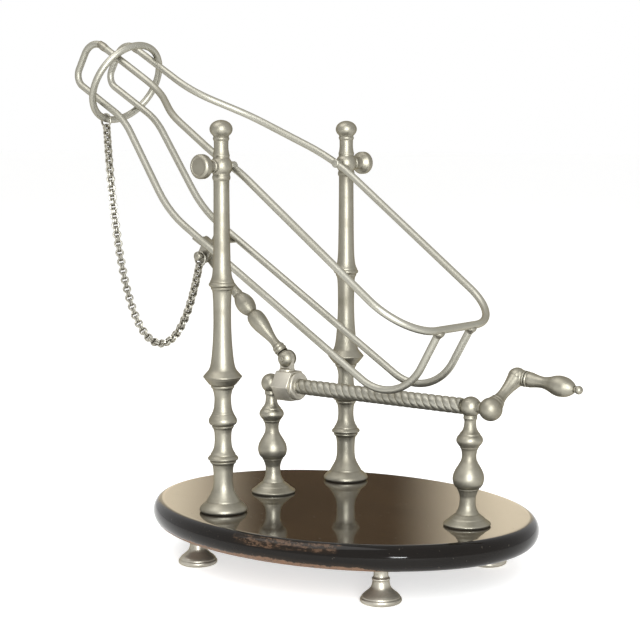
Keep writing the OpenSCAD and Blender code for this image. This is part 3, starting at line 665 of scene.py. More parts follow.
def bent_wire(bm, path, radii, diameter, segments=20):
    """A round wire through the points, bent to a radius at each inner point."""
    path = [Vector(p) for p in path]
    turns = [0.0] * len(path)
    for i in range(1, len(path) - 1):
        turns[i] = (path[i] - path[i - 1]).angle(path[i + 1] - path[i])
    backs = [r * math.tan(t / 2) for r, t in zip(radii, turns)]
    here = path[0]
    first = edges = edges_of(circle(bm, diameter / 2, segments, frame_at(here, path[1] - path[0])))
    for i in range(1, len(path)):
        heading = (path[i] - path[i - 1]).normalized()
        there = path[i] - heading * backs[i]
        edges, verts = drawn_on(bm, edges)
        bmesh.ops.translate(bm, vec=there - here, verts=verts)
        here = there
        if turns[i] > 1e-4:
            leaving = (path[i + 1] - path[i]).normalized()
            inward = (leaving - heading * leaving.dot(heading)).normalized()
            axis = heading.cross(inward)
            steps = max(2, math.ceil(math.degrees(turns[i]) / 5))
            spun = bmesh.ops.spin(
                bm, geom=edges, cent=there + inward * radii[i], axis=axis, angle=turns[i], steps=steps
            )["geom_last"]
            edges = edges_in(spun)
            here = path[i] + leaving * backs[i]
    for end in (first, edges):
        bmesh.ops.contextual_create(bm, geom=end)


def torus(bm, radius, wire, place, steps, segments, dull=1.0):
    """A closed ring of round wire, on the Z axis of its place, duller towards its inside."""
    before = set(bm.verts)
    start = circle(bm, wire / 2, segments, turned((radius, 0, 0), "X"))
    revolve(bm, start + edges_of(start), steps)
    fresh = [v for v in bm.verts if v not in before]
    groove = bm.verts.layers.float["groove"]
    for v in fresh:
        v[groove] = dull * max(0.0, (radius - math.hypot(v.co.x, v.co.y)) / (wire / 2))
    bmesh.ops.transform(bm, matrix=place, verts=fresh)


def ball(bm, place, radius, rings=24):
    """A round ball, from pole to pole along its place's Z."""
    made = bmesh.ops.create_uvsphere(bm, u_segments=2 * rings, v_segments=rings, radius=radius, matrix=place)
    return made["verts"]


def bevel(bm, edges, width, segments=2):
    """Rounds edges over."""
    bmesh.ops.bevel(
        bm,
        geom=edges,
        offset=width,
        offset_type="OFFSET",
        affect="EDGES",
        segments=segments,
        profile=0.5,
        material=-1,
    )


def block(bm, low, high, place=Matrix.Identity(4), width=0.0):
    """A block between two corners, with softened edges."""
    low, high = Vector(low), Vector(high)
    size = Matrix.Diagonal((*(high - low), 1.0))
    whole = place @ Matrix.Translation((low + high) / 2) @ size
    verts = bmesh.ops.create_cube(bm, size=1.0, matrix=whole)["verts"]
    if width:
        bevel(bm, edges_of(verts), width)


def piece(bm, name, material, body=None, nodes=(), sharp=38.0, place=None):
    """The bmesh as a finished piece that rides on a body and stands for its solids."""
    if place:
        bmesh.ops.transform(bm, matrix=place, verts=bm.verts)
    bmesh.ops.recalc_face_normals(bm, faces=bm.faces)
    bmesh.ops.scale(bm, vec=(MM, MM, MM), verts=bm.verts)
    mesh = bpy.data.meshes.new(name)
    bm.to_mesh(mesh)
    bm.free()
    mesh.shade_smooth()
    mesh.set_sharp_from_angle(angle=math.radians(sharp))
    mesh.materials.append(finish(material))
    made = bpy.data.objects.new(name, mesh)
    bpy.context.scene.collection.objects.link(made)
    if nodes:
        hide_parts(*nodes)
    if body:
        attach(made, body)
    return made


def cradle_point(s, y, n):
    """A point along, across and square to the cradle, in the part's frame."""
    return CRADLE @ Vector((s, y, n))


# Pieces


class CRADLE_OT_board(bpy.types.Operator):
    """Oval board with a half-round edge, and the screws under it"""

    bl_idname = "cradle.board"
    bl_label = "Board"

    def execute(self, context):
        edge = sizes().edge_in / MM
        bm = new_mesh()
        rim = bm.verts.layers.float["rim"]
        thick = DECK - BOARD_LOW
        verts = circle(bm, 1.0, 224)
        bottom = edges = edges_of(verts)
        half, here, steps = (1.0, 1.0), 0.0, 16
        for k in range(steps + 1):
            a = math.radians(-90 + 180 * k / steps)
            inset = edge * (1 - math.cos(a))
            grown = (BOARD_HALF[0] - inset, BOARD_HALF[1] - inset)
            there = BOARD_LOW + thick / 2 * (1 + math.sin(a))
            if k:
                edges, verts = drawn_on(bm, edges)
            bmesh.ops.scale(bm, vec=(grown[0] / half[0], grown[1] / half[1], 1), verts=verts)
            bmesh.ops.translate(bm, vec=(0, 0, there - here), verts=verts)
            for v in verts:
                v[rim] = math.sin(a)
            half, here = grown, there
        caps = [bmesh.ops.contextual_create(bm, geom=ring)["faces"] for ring in (bottom, edges)]
        for cap in caps:
            bmesh.ops.inset_region(bm, faces=cap, thickness=0.8, use_even_offset=True)
        piece(bm, "board", "black_lacquer", "base", ["base_board"], sharp=60)
        bm = new_mesh()
        places = [*(p.xy for p in POST), (LEFT_X, 0), (RIGHT_X, 0)]
        for i, place in enumerate(places):
            at = Matrix.Translation((*place, BOARD_LOW)) @ Matrix.Rotation(0.7 * i, 4, "Z")
            lathe(bm, [(-0.35, 2.6), (-0.2, 3.5), (0.1, 3.95), (2.0, 2.2), (2.6, 2.0)], at, 32)
            block(bm, (-3.4, -0.45, -0.42), (3.4, 0.45, -0.30), at)
        piece(bm, "board_screws", "screw_steel", "base", ["fixing_screws"])
        return {"FINISHED"}


class CRADLE_OT_feet(bpy.types.Operator):
    """Four turned feet"""

    bl_idname = "cradle.feet"
    bl_label = "Feet"

    def execute(self, context):
        for name in FEET:
            low, high = (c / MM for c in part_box("foot_" + name))
            at = Matrix.Translation((*((low + high) / 2).xy, 0))
            wide = (high.x - low.x) / 2
            bm = new_mesh()
            lathe(bm, outline([
                (0, wide - 2.4), (0.4, wide - 1.2), (1.0, wide - 0.3), (1.8, wide), (2.5, wide - 0.15),
                (2.9, wide - 0.45), (3.1, wide - 0.7), (3.3, wide - 0.75), (3.7, wide - 0.9),
                (4.1, wide - 1.25), (4.5, 8.6), (5.1, 7.9), (5.8, 7.0), (6.6, 6.1), (7.3, 5.4),
                (8.0, 4.9), (8.7, 4.6), (10.1, 4.25), (11.2, 4.1), (11.5, 4.2), (11.8, 4.4), (12.2, 4.45),
                (12.6, 4.25), (12.9, 3.85), (13.6, 3.6), (15.0, 3.55), (17.0, 4.0),
                (BOARD_LOW + 0.3, 4.6),
            ]), at, 56)
            piece(bm, "foot." + name, "pale_pewter", "base", ["foot_" + name])
        return {"FINISHED"}


def post_outline():
    """Outline of a post from its foot to its finial."""
    h = PIVOT.z - DECK
    ball_r = sizes().finial_d / MM / 2
    low = outline([
        (0, 11.4), (0.5, 12.0), (1.1, 12.25), (1.9, 12.1), (2.8, 11.5), (3.7, 10.6), (4.6, 9.5),
        (5.1, 8.85), (5.3, 8.65), (5.5, 8.55), (5.9, 8.45), (6.6, 8.0), (7.7, 7.35), (8.8, 6.75),
        (11.0, 5.7), (13.0, 5.2), (15.0, 5.0), (17.5, 4.95), (20.3, 5.04), (22.2, 5.16), (23.9, 5.5),
        (24.4, 5.65), (24.7, 5.9), (25.2, 6.45), (25.8, 6.7), (26.3, 6.65), (26.5, 6.75), (26.8, 7.3),
        (27.2, 7.75), (27.7, 7.8), (28.3, 7.45), (28.9, 6.85), (29.2, 6.5), (29.45, 6.4), (29.8, 6.35),
        (30.3, 6.05), (31.4, 5.4), (34.0, 4.55), (37.4, 4.27), (40.7, 4.4), (42.2, 4.7), (42.8, 4.9),
        (43.1, 5.15), (43.6, 5.5), (44.1, 5.6), (44.5, 5.6), (44.7, 5.85), (45.1, 6.45), (45.8, 7.0),
        (46.8, 7.25), (47.8, 7.1), (48.6, 6.7), (49.6, 6.15), (50.2, 5.85), (50.5, 5.6), (50.9, 5.5),
        (51.7, 5.15), (54.3, 4.5), (58.5, 4.23), (60.5, 4.45), (62.6, 4.95), (63.3, 5.2), (63.6, 5.5),
        (64.1, 5.85), (64.6, 5.95), (65.1, 5.95), (65.3, 6.25), (65.8, 6.95), (66.6, 7.6), (67.7, 8.5),
        (68.6, 9.2), (68.9, 9.3), (69.1, 9.6), (69.5, 9.9), (69.9, 9.8), (70.5, 9.3), (71.5, 8.45),
        (73.2, 7.05), (75.2, 6.3), (77.4, 5.86), (81.6, 5.37), (90.1, 4.74), (98.6, 4.5), (107, 4.57),
        (111.2, 4.76), (112.9, 4.93), (113.6, 5.1), (113.9, 5.3), (114.3, 5.6), (114.8, 5.7),
        (115.2, 5.7), (115.4, 5.9), (115.8, 6.45), (116.3, 6.7), (116.8, 6.7), (117.4, 6.4), (117.6, 6.2),
        (117.85, 6.1), (118.2, 6.05), (118.9, 5.7), (119.8, 5.35), (121.5, 4.95), (127.5, 4.45),
        (143.7, 4.16), (h - 9.5, 4.0), (h - 7.2, 4.05), (h - 6.4, 4.5), (h - 5.4, 4.6), (h - 4.4, 4.3),
    ])
    boss = arc(h, 5.7, 5.7, -41, 42)
    high = outline(raised(h, [
        (4.5, 4.15), (5.4, 4.3), (6.2, 4.05), (9.6, 3.65), (12.6, 3.7), (13.4, 4.1), (14, 4.15),
        (14.6, 3.85),
    ]))
    return low + boss + high + arc(h + 18.5, ball_r, 4.6, -46, 88)


class CRADLE_OT_posts(bpy.types.Operator):
    """Two tall turned posts"""

    bl_idname = "cradle.posts"
    bl_label = "Posts"

    def execute(self, context):
        for (name, _), at in zip(SIDES, POST):
            bm = new_mesh()
            lathe(bm, post_outline(), Matrix.Translation((*at.xy, DECK)), 72)
            piece(bm, "post." + name, "turned_pewter", "base", ["post_" + name])
        return {"FINISHED"}


class CRADLE_OT_balusters(bpy.types.Operator):
    """Two short turned balusters with ball heads"""

    bl_idname = "cradle.balusters"
    bl_label = "Balusters"

    def execute(self, context):
        h = AXIS_Z - DECK
        shape = outline([
            (0, 11.2), (0.5, 11.65), (1.0, 11.8), (1.5, 11.4), (2.2, 10.4), (3.0, 9.3), (3.3, 8.9),
            (3.5, 8.7), (3.9, 8.4), (4.8, 7.2), (5.5, 6.35), (5.75, 5.95), (6.0, 5.75), (6.4, 5.6),
            (7.9, 4.75), (10.7, 4.05), (13.9, 3.94), (16.2, 4.5), (17.2, 4.85), (17.5, 4.95),
            (17.7, 5.15), (18.2, 5.45), (18.6, 5.5), (18.8, 5.65), (19.5, 6.45), (21.2, 7.4), (23.5, 7.8),
            (25.8, 7.45), (28.1, 6.45), (30.4, 5.1), (33.1, 3.8), (35.0, 3.56), (37.2, 3.83),
            (38.3, 4.15), (38.5, 4.3), (39.0, 4.6), (39.4, 4.65), (39.6, 4.85), (40.4, 5.45), (41.6, 6.3),
            (h - 16.5, 6.6), (h - 15.2, 6.3), (h - 14.2, 5.6), (h - 13.8, 5.25), (h - 13.6, 5.15),
            (h - 13.2, 5.0), (h - 12.3, 4.2), (h - 10.1, 3.2), (h - 7.3, 2.92), (h - 6.2, 3.1),
            (h - 5.9, 3.3), (h - 5.5, 3.45), (h - 5.1, 3.35),
        ])
        shape += arc(h, BALL_R, BALL_R, -50, 89, 18)
        for name, x in (("left", LEFT_X), ("right", RIGHT_X)):
            bm = new_mesh()
            lean = Matrix.Identity(4)
            lean[0][2] = math.copysign(LEAN, x) / h
            lathe(bm, shape, Matrix.Translation((x, 0, DECK)) @ lean, 56)
            piece(bm, "baluster." + name, "turned_pewter", "base", ["baluster_" + name])
        return {"FINISHED"}


class CRADLE_OT_lead_screw(bpy.types.Operator):
    """Rope-twist lead screw with plain ends"""

    bl_idname = "cradle.lead_screw"
    bl_label = "Lead screw"

    def execute(self, context):
        s = sizes()
        starts, ridge_points, per_turn, journal = 3, 18, 40, 2.5
        radius, depth, lead = s.screw_d / MM / 2, s.groove_depth / MM, s.screw_lead / MM
        first, last = LEFT_X - LEAN + SCREW_END, RIGHT_X + LEAN - SCREW_END
        turns = (last - first) / lead
        steps = math.ceil(per_turn * turns)
        bm = new_mesh()
        groove = bm.verts.layers.float["groove"]
        verts = circle(bm, radius, starts * ridge_points)
        for v in verts:
            a = math.atan2(v.co.y, v.co.x)
            dip = 1 - abs(math.sin(starts * a / 2)) ** 0.4
            v[groove] = dip
            v.co *= 1 - depth * dip / radius
        bmesh.ops.transform(bm, matrix=turned((first, 0, AXIS_Z), "Y"), verts=verts)
        edges = edges_of(verts)
        far = bmesh.ops.spin(
            bm,
            geom=edges,
            cent=(0, 0, AXIS_Z),
            axis=(1, 0, 0),
            dvec=((last - first) / steps, 0, 0),
            angle=math.tau * turns,
            steps=steps,
        )["geom_last"]
        for end in (edges, edges_in(far)):
            bmesh.ops.contextual_create(bm, geom=end)
        for start, stop in ((LEFT_X - 3.7, first + 0.5), (last - 0.5, HUB.x + 3.75)):
            lathe(bm, [(start, journal), (stop, journal)], turned((0, 0, AXIS_Z), "Y"), 32)
        piece(bm, "lead_screw.twist", "screw_pewter", "crank", ["lead_screw"], sharp=70)
        return {"FINISHED"}


class CRADLE_OT_crank(bpy.types.Operator):
    """Crank arm with its hub and elbow, the spindle and the spinning grip"""

    bl_idname = "cradle.crank"
    bl_label = "Crank"

    def execute(self, context):
        along = turned(HUB, "Y")
        arm = ELBOW - HUB
        reach = arm.length
        grip = frame_at(ELBOW, (math.cos(GRIP_DROOP), 0, -math.sin(GRIP_DROOP)))
        bm = new_mesh()
        ball(bm, along, HUB_R)
        lathe(bm, outline([(-6.6, 2.6), (-6.2, 2.9), (-5.6, 3.0), (-4.6, 3.0)]), along, 40)
        lathe(bm, outline([
            (0, 4.3), (4.6, 4.2), (5.4, 3.9), (5.7, 3.65), (6.0, 3.7), (6.5, 3.65), (7.4, 3.1),
            (reach * 0.46, 2.65), (reach * 0.66, 3.05), (reach * 0.84, 3.85), (reach * 0.9, 4.15),
            (reach * 0.92, 4.05), (reach * 0.94, 4.2), (reach, 4.3),
        ]), frame_at(HUB, arm), 48)
        ball(bm, frame_at(ELBOW, arm), ELBOW_R)
        lathe(bm, outline([
            (0, 4.3), (2.6, 4.15), (3.5, 4.0), (3.8, 3.8), (4.2, 4.0), (4.7, 4.05), (5.1, 3.9),
        ]), grip, 48)
        piece(bm, "crank_arm.turned", "turned_pewter", "crank", ["crank_arm"])
        first, long, spindle = 5.3, 27.0, 1.4
        tip = first + long + 0.3
        bm = new_mesh()
        lathe(bm, [(-0.7, spindle), (tip + 0.4, spindle)], grip, 32)
        lathe(bm, outline([(tip, 1.45), (tip + 0.5, 1.7)]) + arc(tip + 2.1, 2.1, 2.05, -40, 88), grip, 32)
        piece(bm, "grip_spindle.ball", "turned_pewter", "crank", ["grip_spindle"])
        bm = new_mesh()
        lathe(bm, outline(raised(first, [
            (0, 3.6), (0.3, 3.9), (0.9, 3.95), (1.3, 3.65), (1.7, 3.75), (2.4, 3.8), (4.4, 3.45),
            (7.0, 3.0), (9.4, 2.85), (13.0, 3.55), (16.4, 4.75), (19.0, 5.15), (21.8, 4.9), (24.2, 4.05),
            (26.0, 2.9), (long, 1.9),
        ])), grip, 56)
        piece(bm, "crank_grip.turned", "turned_pewter", "grip", ["crank_grip"])
        return {"FINISHED"}


class CRADLE_OT_nut(bpy.types.Operator):
    """Hexagonal travelling nut with its collar and tongue, and the link's lower pin"""

    bl_idname = "cradle.nut"
    bl_label = "Travelling nut"

    def execute(self, context):
        long = 10.8
        corner = sizes().nut_flats / MM / 2 / math.cos(math.pi / 6)
        ends = turned((NUT_LEFT, 0, AXIS_Z), "Y")
        inside = ends @ Matrix.Translation((0, 0, long / 2))
        bm = new_mesh()
        made = bmesh.ops.create_cone(
            bm, cap_ends=True, segments=6, radius1=corner, radius2=corner, depth=long, matrix=inside
        )
        bevel(bm, edges_of(made["verts"]), 0.55, 3)
        lathe(bm, outline(raised(long, [
            (-1, 7.2), (0.3, 7.35), (1.1, 7.5), (1.8, 7.3), (2.2, 6.6),
        ])), ends, 56)
        lathe(bm, raised(long, [(0, 5.2), (2.45, 5.2), (2.6, 5.0), (2.6, 4.0)]), ends, 56)
        up = Matrix.Translation((NUT_PIN.x, 0, AXIS_Z))
        lathe(bm, outline([(6.0, 4.2), (7.9, 4.2), (8.5, 4.1), (9.05, 3.4)]), up, 48)
        block(bm, (-3.75, -1.6, 7.0), (3.75, 1.6, NUT_PIN.z - AXIS_Z), up, 0.15)
        across = turned(NUT_PIN, "X")
        lathe(bm, [(-1.65, 3.9), (-1.45, 4.1), (1.45, 4.1), (1.65, 3.9)], across, 48)
        piece(bm, "nut.hexagon", "pale_pewter", "nut", ["travelling_nut"], sharp=30)
        bm = new_mesh()
        lathe(bm, outline([
            (-5.55, 0.5), (-5.4, 1.15), (-5.15, 1.6), (-4.9, 1.7), (4.9, 1.7), (5.15, 1.6), (5.4, 1.15),
            (5.55, 0.5),
        ]), across, 32)
        piece(bm, "nut.pin", "braze_pewter", "nut", ["link_pin_low"])
        return {"FINISHED"}


class CRADLE_OT_link(bpy.types.Operator):
    """Turned link arm with its ball fork and eye, and its upper pin"""

    bl_idname = "cradle.link"
    bl_label = "Link arm"

    def execute(self, context):
        way = cradle_point(-LUG_S, 0, LUG_N) - NUT_PIN
        far = way.length
        at = frame_at(NUT_PIN, way)
        ball_r, slot, root, tail = 4.9, 1.75, 4.3, far - 3.8
        if abs(at.to_3x3().col[1].y) < 0.9:
            raise RuntimeError("the fork's slot does not lie across the cradle")
        bm = new_mesh()
        fork(bm, at, ball_r, slot, root)
        lathe(bm, outline([
            (root + 0.1, 3.3), (5.2, 3.05), (5.6, 3.3), (6.2, 3.5), (6.8, 3.4), (7.1, 3.15), (7.5, 3.2),
            (8.1, 3.35), (8.7, 3.2), (9.1, 2.85), (10.0, 2.55), (12.5, 2.35), (16, 2.75), (20, 3.6),
            (24, 4.4), (27.6, 4.75), (30.4, 4.5), (32.2, 3.75), (33.0, 3.0), (33.25, 2.65), (33.5, 2.8),
            (34.5, 3.5), (36.6, 4.45), (39.4, 5.0), (42.0, 4.75), (44.4, 3.9), (46.0, 3.05), (46.5, 2.8),
            (46.8, 2.75), (47.4, 2.9), (48.4, 2.75), (51, 2.5), (tail, 2.3), (tail + 1.2, 2.2),
        ]), at, 56)
        eye = at @ turned((0, 0, far), "X")
        lathe(bm, [(-2.2, 3.4), (-1.9, 3.8), (1.9, 3.8), (2.2, 3.4)], eye, 48)
        piece(bm, "link_arm.turned", "turned_pewter", "link", ["link_arm"])
        bm = new_mesh()
        lathe(bm, [(-2.35, 0.9), (-2.2, 1.2), (2.2, 1.2), (2.35, 0.9)], eye, 32)
        piece(bm, "link_arm.pin", "braze_pewter", "link", ["link_pin_high"])
        return {"FINISHED"}


def fork(bm, place, radius, slot, root):
    """Ball with a slot for the nut's tongue, open away from the arm: two cheeks and their root."""
    for point, way in (((0, slot, 0), (0, 1, 0)), ((0, -slot, 0), (0, -1, 0)), ((0, 0, root), (0, 0, 1))):
        verts = ball(bm, place @ turned((0, 0, 0), "X"), radius)
        cut = bmesh.ops.bisect_plane(
            bm,
            geom=list({g for v in verts for f in v.link_faces for g in (f, *f.edges, *f.verts)}),
            plane_co=place @ Vector(point),
            plane_no=place.to_3x3() @ Vector(way),
            clear_inner=True,
        )["geom_cut"]
        bmesh.ops.holes_fill(bm, edges=edges_in(cut), sides=0)


class CRADLE_OT_wires(bpy.types.Operator):
    """Bent wires of the cradle: the upper bow, both lower wires and their brazed joints"""

    bl_idname = "cradle.wires"
    bl_label = "Cradle wires"

    def execute(self, context):
        wire = sizes().wire_d / MM
        shoulder = NECK_Y + (RAIL_Y - NECK_Y) * 0.62
        half = [
            (JOINT_S, NECK_Y, NECK_HIGH_N), (-88, NECK_Y, NECK_HIGH_N),
            (-58, shoulder, 0.68 * NECK_HIGH_N), (-14, RAIL_Y, 0.15 * NECK_HIGH_N), (6, RAIL_Y, 0),
            (HOOP_S, RAIL_Y, HOOP_N),
        ]
        bends = [0, 46, 60, 60, 70, HOOP_R]
        near = [(s, -y, n) for s, y, n in half]
        bm = new_mesh()
        bent_wire(bm, near + half[::-1], bends + bends[::-1], wire)
        eye = outline([(-2.3, 1.9), (-2.1, 2.2), (-1.8, 2.35), (1.5, 2.35), (1.8, 2.2), (1.95, 1.9)])
        for side in (-1, 1):
            lathe(bm, eye, turned((0, side * RAIL_Y, 0), "X", -side), 40)
        piece(bm, "wire.upper_bow", "wire_pewter", "cradle", ["upper_bow"], 50, CRADLE)
        for name, side in SIDES:
            path = [
                (HOOP_S, LOW_Y, HOOP_N - 0.9), (HOOP_S, LOW_Y, LOW_N), (BELLY_S, LOW_Y, BELLY_N),
                (THROAT_S, NECK_Y, NECK_LOW_N), (-HAIRPIN_S, NECK_Y, NECK_LOW_N),
                (-HAIRPIN_S, NECK_Y, NECK_HIGH_N), (JOINT_S, NECK_Y, NECK_HIGH_N),
            ]
            bm = new_mesh()
            bent_wire(bm, [(s, side * y, n) for s, y, n in path], [0, HOOP_R, 65, 37, 7, 10.5, 0], wire)
            nodes = ["lower_wire_" + name]
            piece(bm, "wire.lower_" + name, "wire_pewter", "cradle", nodes, 50, CRADLE)
        bm = new_mesh()
        for side in (-1, 1):
            at = Matrix.Translation((HOOP_S, side * LOW_Y, HOOP_N - 1.4))
            lathe(bm, outline([(-2.6, 2.0), (-1.6, 2.35), (-0.4, 2.9), (0.5, 2.95), (1.4, 2.2)]), at, 32)
            at = frame_at((JOINT_S, side * NECK_Y, NECK_HIGH_N), (1, 0, 0))
            lathe(bm, outline([(-3.4, 1.97), (-1.6, 2.2), (0, 2.32), (1.5, 2.18), (3.2, 1.97)]), at, 32)
        piece(bm, "wire.brazing", "braze_pewter", "cradle", (), place=CRADLE)
        return {"FINISHED"}


class CRADLE_OT_lugs(bpy.types.Operator):
    """Two lugs under the lower rails, with their rivets"""

    bl_idname = "cradle.lugs"
    bl_label = "Lugs"

    def execute(self, context):
        outer = LUG_IN + LUG_THICK
        top = low_rail(-LUG_S) - WIRE_D / 2 + 0.5
        for name, side in SIDES:
            bm = new_mesh()
            low, high = sorted((side * LUG_IN, side * (LOW_Y + 0.9)))
            block(bm, (-LUG_S - 3.4, low, top - 1.3), (-LUG_S + 3.4, high, top), width=0.45)
            low, high = sorted((side * LUG_IN, side * outer))
            block(bm, (-LUG_S - LUG_R, low, LUG_N), (-LUG_S + LUG_R, high, top - 0.2), width=0.2)
            across = turned((-LUG_S, side * (LUG_IN + outer) / 2, LUG_N), "X")
            lathe(bm, [(-0.86, 3.85), (-0.7, 4.05), (0.7, 4.05), (0.86, 3.85)], across, 48)
            nodes = ["lug_" + name]
            piece(bm, "lug." + name, "braze_pewter", "cradle", nodes, 30, CRADLE)
        bm = new_mesh()
        for side, neck in ((-1, RIVET_NECK), (1, 0.0)):
            at = turned((-LUG_S, side * LUG_IN, LUG_N), "X", -side)
            head = LUG_THICK + neck
            lathe(bm, [(0, RIVET_R), (head + 0.2, RIVET_R)], at, 32)
            lathe(bm, outline(raised(head, [
                (0, 2.2), (0.3, 2.6), (1.2, 2.5), (2.0, 1.9), (2.4, 0.9),
            ])), at, 36)
        piece(bm, "lug.rivets", "turned_pewter", "cradle", ["lug_rivets"], place=CRADLE)
        return {"FINISHED"}


class CRADLE_OT_thumb_screws(bpy.types.Operator):
    """Two thumb screws with recessed disc heads"""

    bl_idname = "cradle.thumb_screws"
    bl_label = "Thumb screws"

    def execute(self, context):
        wide = sizes().thumb_d / MM / 2
        neck = 5.5
        disc = neck + 6.8
        shape = outline(
            raised(neck, [(0, 3.0), (0.6, 3.45), (1.4, 3.45), (2.0, 3.0), (2.8, 2.9)])
            + raised(disc, [(-1.8, 3.2), (-0.5, 4.6), (0.2, wide - 0.7), (1.2, wide), (3.6, wide)])
            + raised(disc, [(4.5, wide - 0.5), (5.0, wide - 1.3)])
        )
        shape += raised(disc, [(4.95, wide - 1.7), (4.72, wide - 1.95), (4.75, wide - 2.3)])
        for (name, side), at in zip(SIDES, POST):
            place = turned((*at.xy, PIVOT.z), "X", -side)
            bm = new_mesh()
            lathe(bm, [(-8.9, 1.2), (-8.6, 1.5), (-5.2, 1.5), (-5.2, 2.5), (neck + 0.5, 2.5)], place, 40)
            lathe(bm, shape, place, 56)
            nodes = ["thumb_screw_" + name]
            piece(bm, "thumb_screw." + name, "turned_pewter", "thumb_" + name, nodes)
        return {"FINISHED"}


class CRADLE_OT_slip_ring(bpy.types.Operator):
    """Loose ring round the rails at the neck"""

    bl_idname = "cradle.slip_ring"
    bl_label = "Slip ring"

    def execute(self, context):
        bm = new_mesh()
        at = CRADLE @ turned((-RING_S, 0, -RING_DROP), "Y")
        torus(bm, sizes().ring_r / MM, sizes().wire_d / MM, at, 120, 20, dull=0.0)
        piece(bm, "slip_ring.wire", "wire_pewter", "ring", ["slip_ring"])
        return {"FINISHED"}


class Hang:
    """A chain hanging from one point to another, of a given length."""

    def __init__(self, start, end, long):
        self.start, self.long = start, long
        self.out = Vector((end.x - start.x, end.y - start.y, 0))
        level, rise = self.out.length, end.z - start.z
        self.out.normalize()
        slack = math.sqrt(long * long - rise * rise) / level
        low, high = 0.01, 8.0
        for _ in range(60):
            guess = (low + high) / 2
            if math.sinh(guess) / guess > slack:
                high = guess
            else:
                low = guess
        self.c = level / (low + high)
        self.low = level / 2 - self.c * math.log((long + rise) / (long - rise)) / 2

    def at(self, along):
        """The point at a length from the start."""
        x = self.low + self.c * math.asinh(along / self.c + math.sinh(-self.low / self.c))
        fall = self.c * (math.cosh((x - self.low) / self.c) - math.cosh(self.low / self.c))
        return self.start + self.out * x + Vector((0, 0, fall))

    def way(self, along):
        """The chain's heading there."""
        return (self.at(along + 0.05) - self.at(along - 0.05)).normalized()

    def bottom(self):
        """Length from the start to the lowest point."""
        return self.c * math.sinh(self.low / self.c)


class CRADLE_OT_chain(bpy.types.Operator):
    """Hanging chain with its two end rings"""

    bl_idname = "cradle.chain"
    bl_label = "Chain"

    def execute(self, context):
        s = sizes()
        radius, wire = s.link_r / MM, s.link_wire_d / MM
        pitch = 2 * (radius - wire / 2) - LINK_GAP
        long = (LINK_COUNT - 1) * pitch
        ring_r, thick = s.ring_r / MM, s.wire_d / MM
        out, down = ring_r * math.sin(HANG_TURN), ring_r * math.cos(HANG_TURN)
        foot = cradle_point(-RING_S, -out, -RING_DROP - down)
        rivet = cradle_point(-LUG_S, -(LUG_IN + LUG_THICK + RIVET_NECK / 2), LUG_N)
        loop = END_RING_R - END_WIRE / 2 - RING_GAP
        high_slack, low_slack = loop - thick / 2, loop - RIVET_R
        link_slack = loop - wire / 2 + radius
        rough = Hang(foot, rivet, long + high_slack + low_slack + 2 * link_slack)
        fall, rise = rough.way(4), -rough.way(rough.long - 4)
        ring_high, ring_low = foot + fall * high_slack, rivet + rise * low_slack
        hang = Hang(ring_high + fall * link_slack, ring_low + rise * link_slack, long)
        bottom = round(hang.bottom() / pitch)

        ring = new_mesh()
        for side in (-0.5, 0.5):
            torus(ring, radius, wire, Matrix.Translation((0, 0, side * (wire + PAIR_GAP))), 18, 8)
        double = bpy.data.meshes.new("double_link")
        ring.to_mesh(double)
        ring.free()

        def strand(name, first, last, body=None):
            """Links from one to another as a piece."""
            bm = new_mesh()
            for i in range(first, last + 1):
                swell = math.sin(math.pi * i / (LINK_COUNT - 1))
                way = hang.way(i * pitch)
                twist = Matrix.Rotation(-LINK_TWIST * swell, 4, way)
                point = hang.at(i * pitch) - Vector((0, CHAIN_BOW * swell, 0))
                bm.from_mesh(double)
                bm.verts.ensure_lookup_table()
                fresh = bm.verts[-len(double.vertices):]
                bmesh.ops.transform(bm, matrix=link_place(point, way, i % 2 == 0, twist), verts=fresh)
            return piece(bm, "chain." + name, "chain_pewter", body, ["chain_" + name])

        top, sag, end = hang.at(0), hang.at(bottom * pitch), hang.at(long)
        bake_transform(strand("fall", 0, bottom - 2), "cradle", "chain_sag", start=top * MM, end=sag * MM)
        rising = strand("rise", bottom + 2, LINK_COUNT - 1)
        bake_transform(rising, "cradle", "chain_sag", start=end * MM, end=sag * MM)
        strand("bottom", bottom - 1, bottom + 1, "chain_sag")
        for name, at, way, body in (("high", ring_high, fall, "ring"), ("low", ring_low, rise, "cradle")):
            bm = new_mesh()
            torus(bm, END_RING_R, END_WIRE, link_place(at, way, False, Matrix.Identity(4)), 32, 12)
            piece(bm, "chain.ring_" + name, "chain_pewter", body, ["chain_ring_" + name])
        return {"FINISHED"}


def link_place(point, way, quarter, twist):
    """Frame of a chain link: its axis across the chain, every other link a quarter turn on."""
    across = way.cross(Vector((0, 0, 1))) + Vector((0, 1e-6, 0))
    across.normalize()
    axis = way.cross(across) if quarter else across
    return frame_at(point, twist @ axis, way)


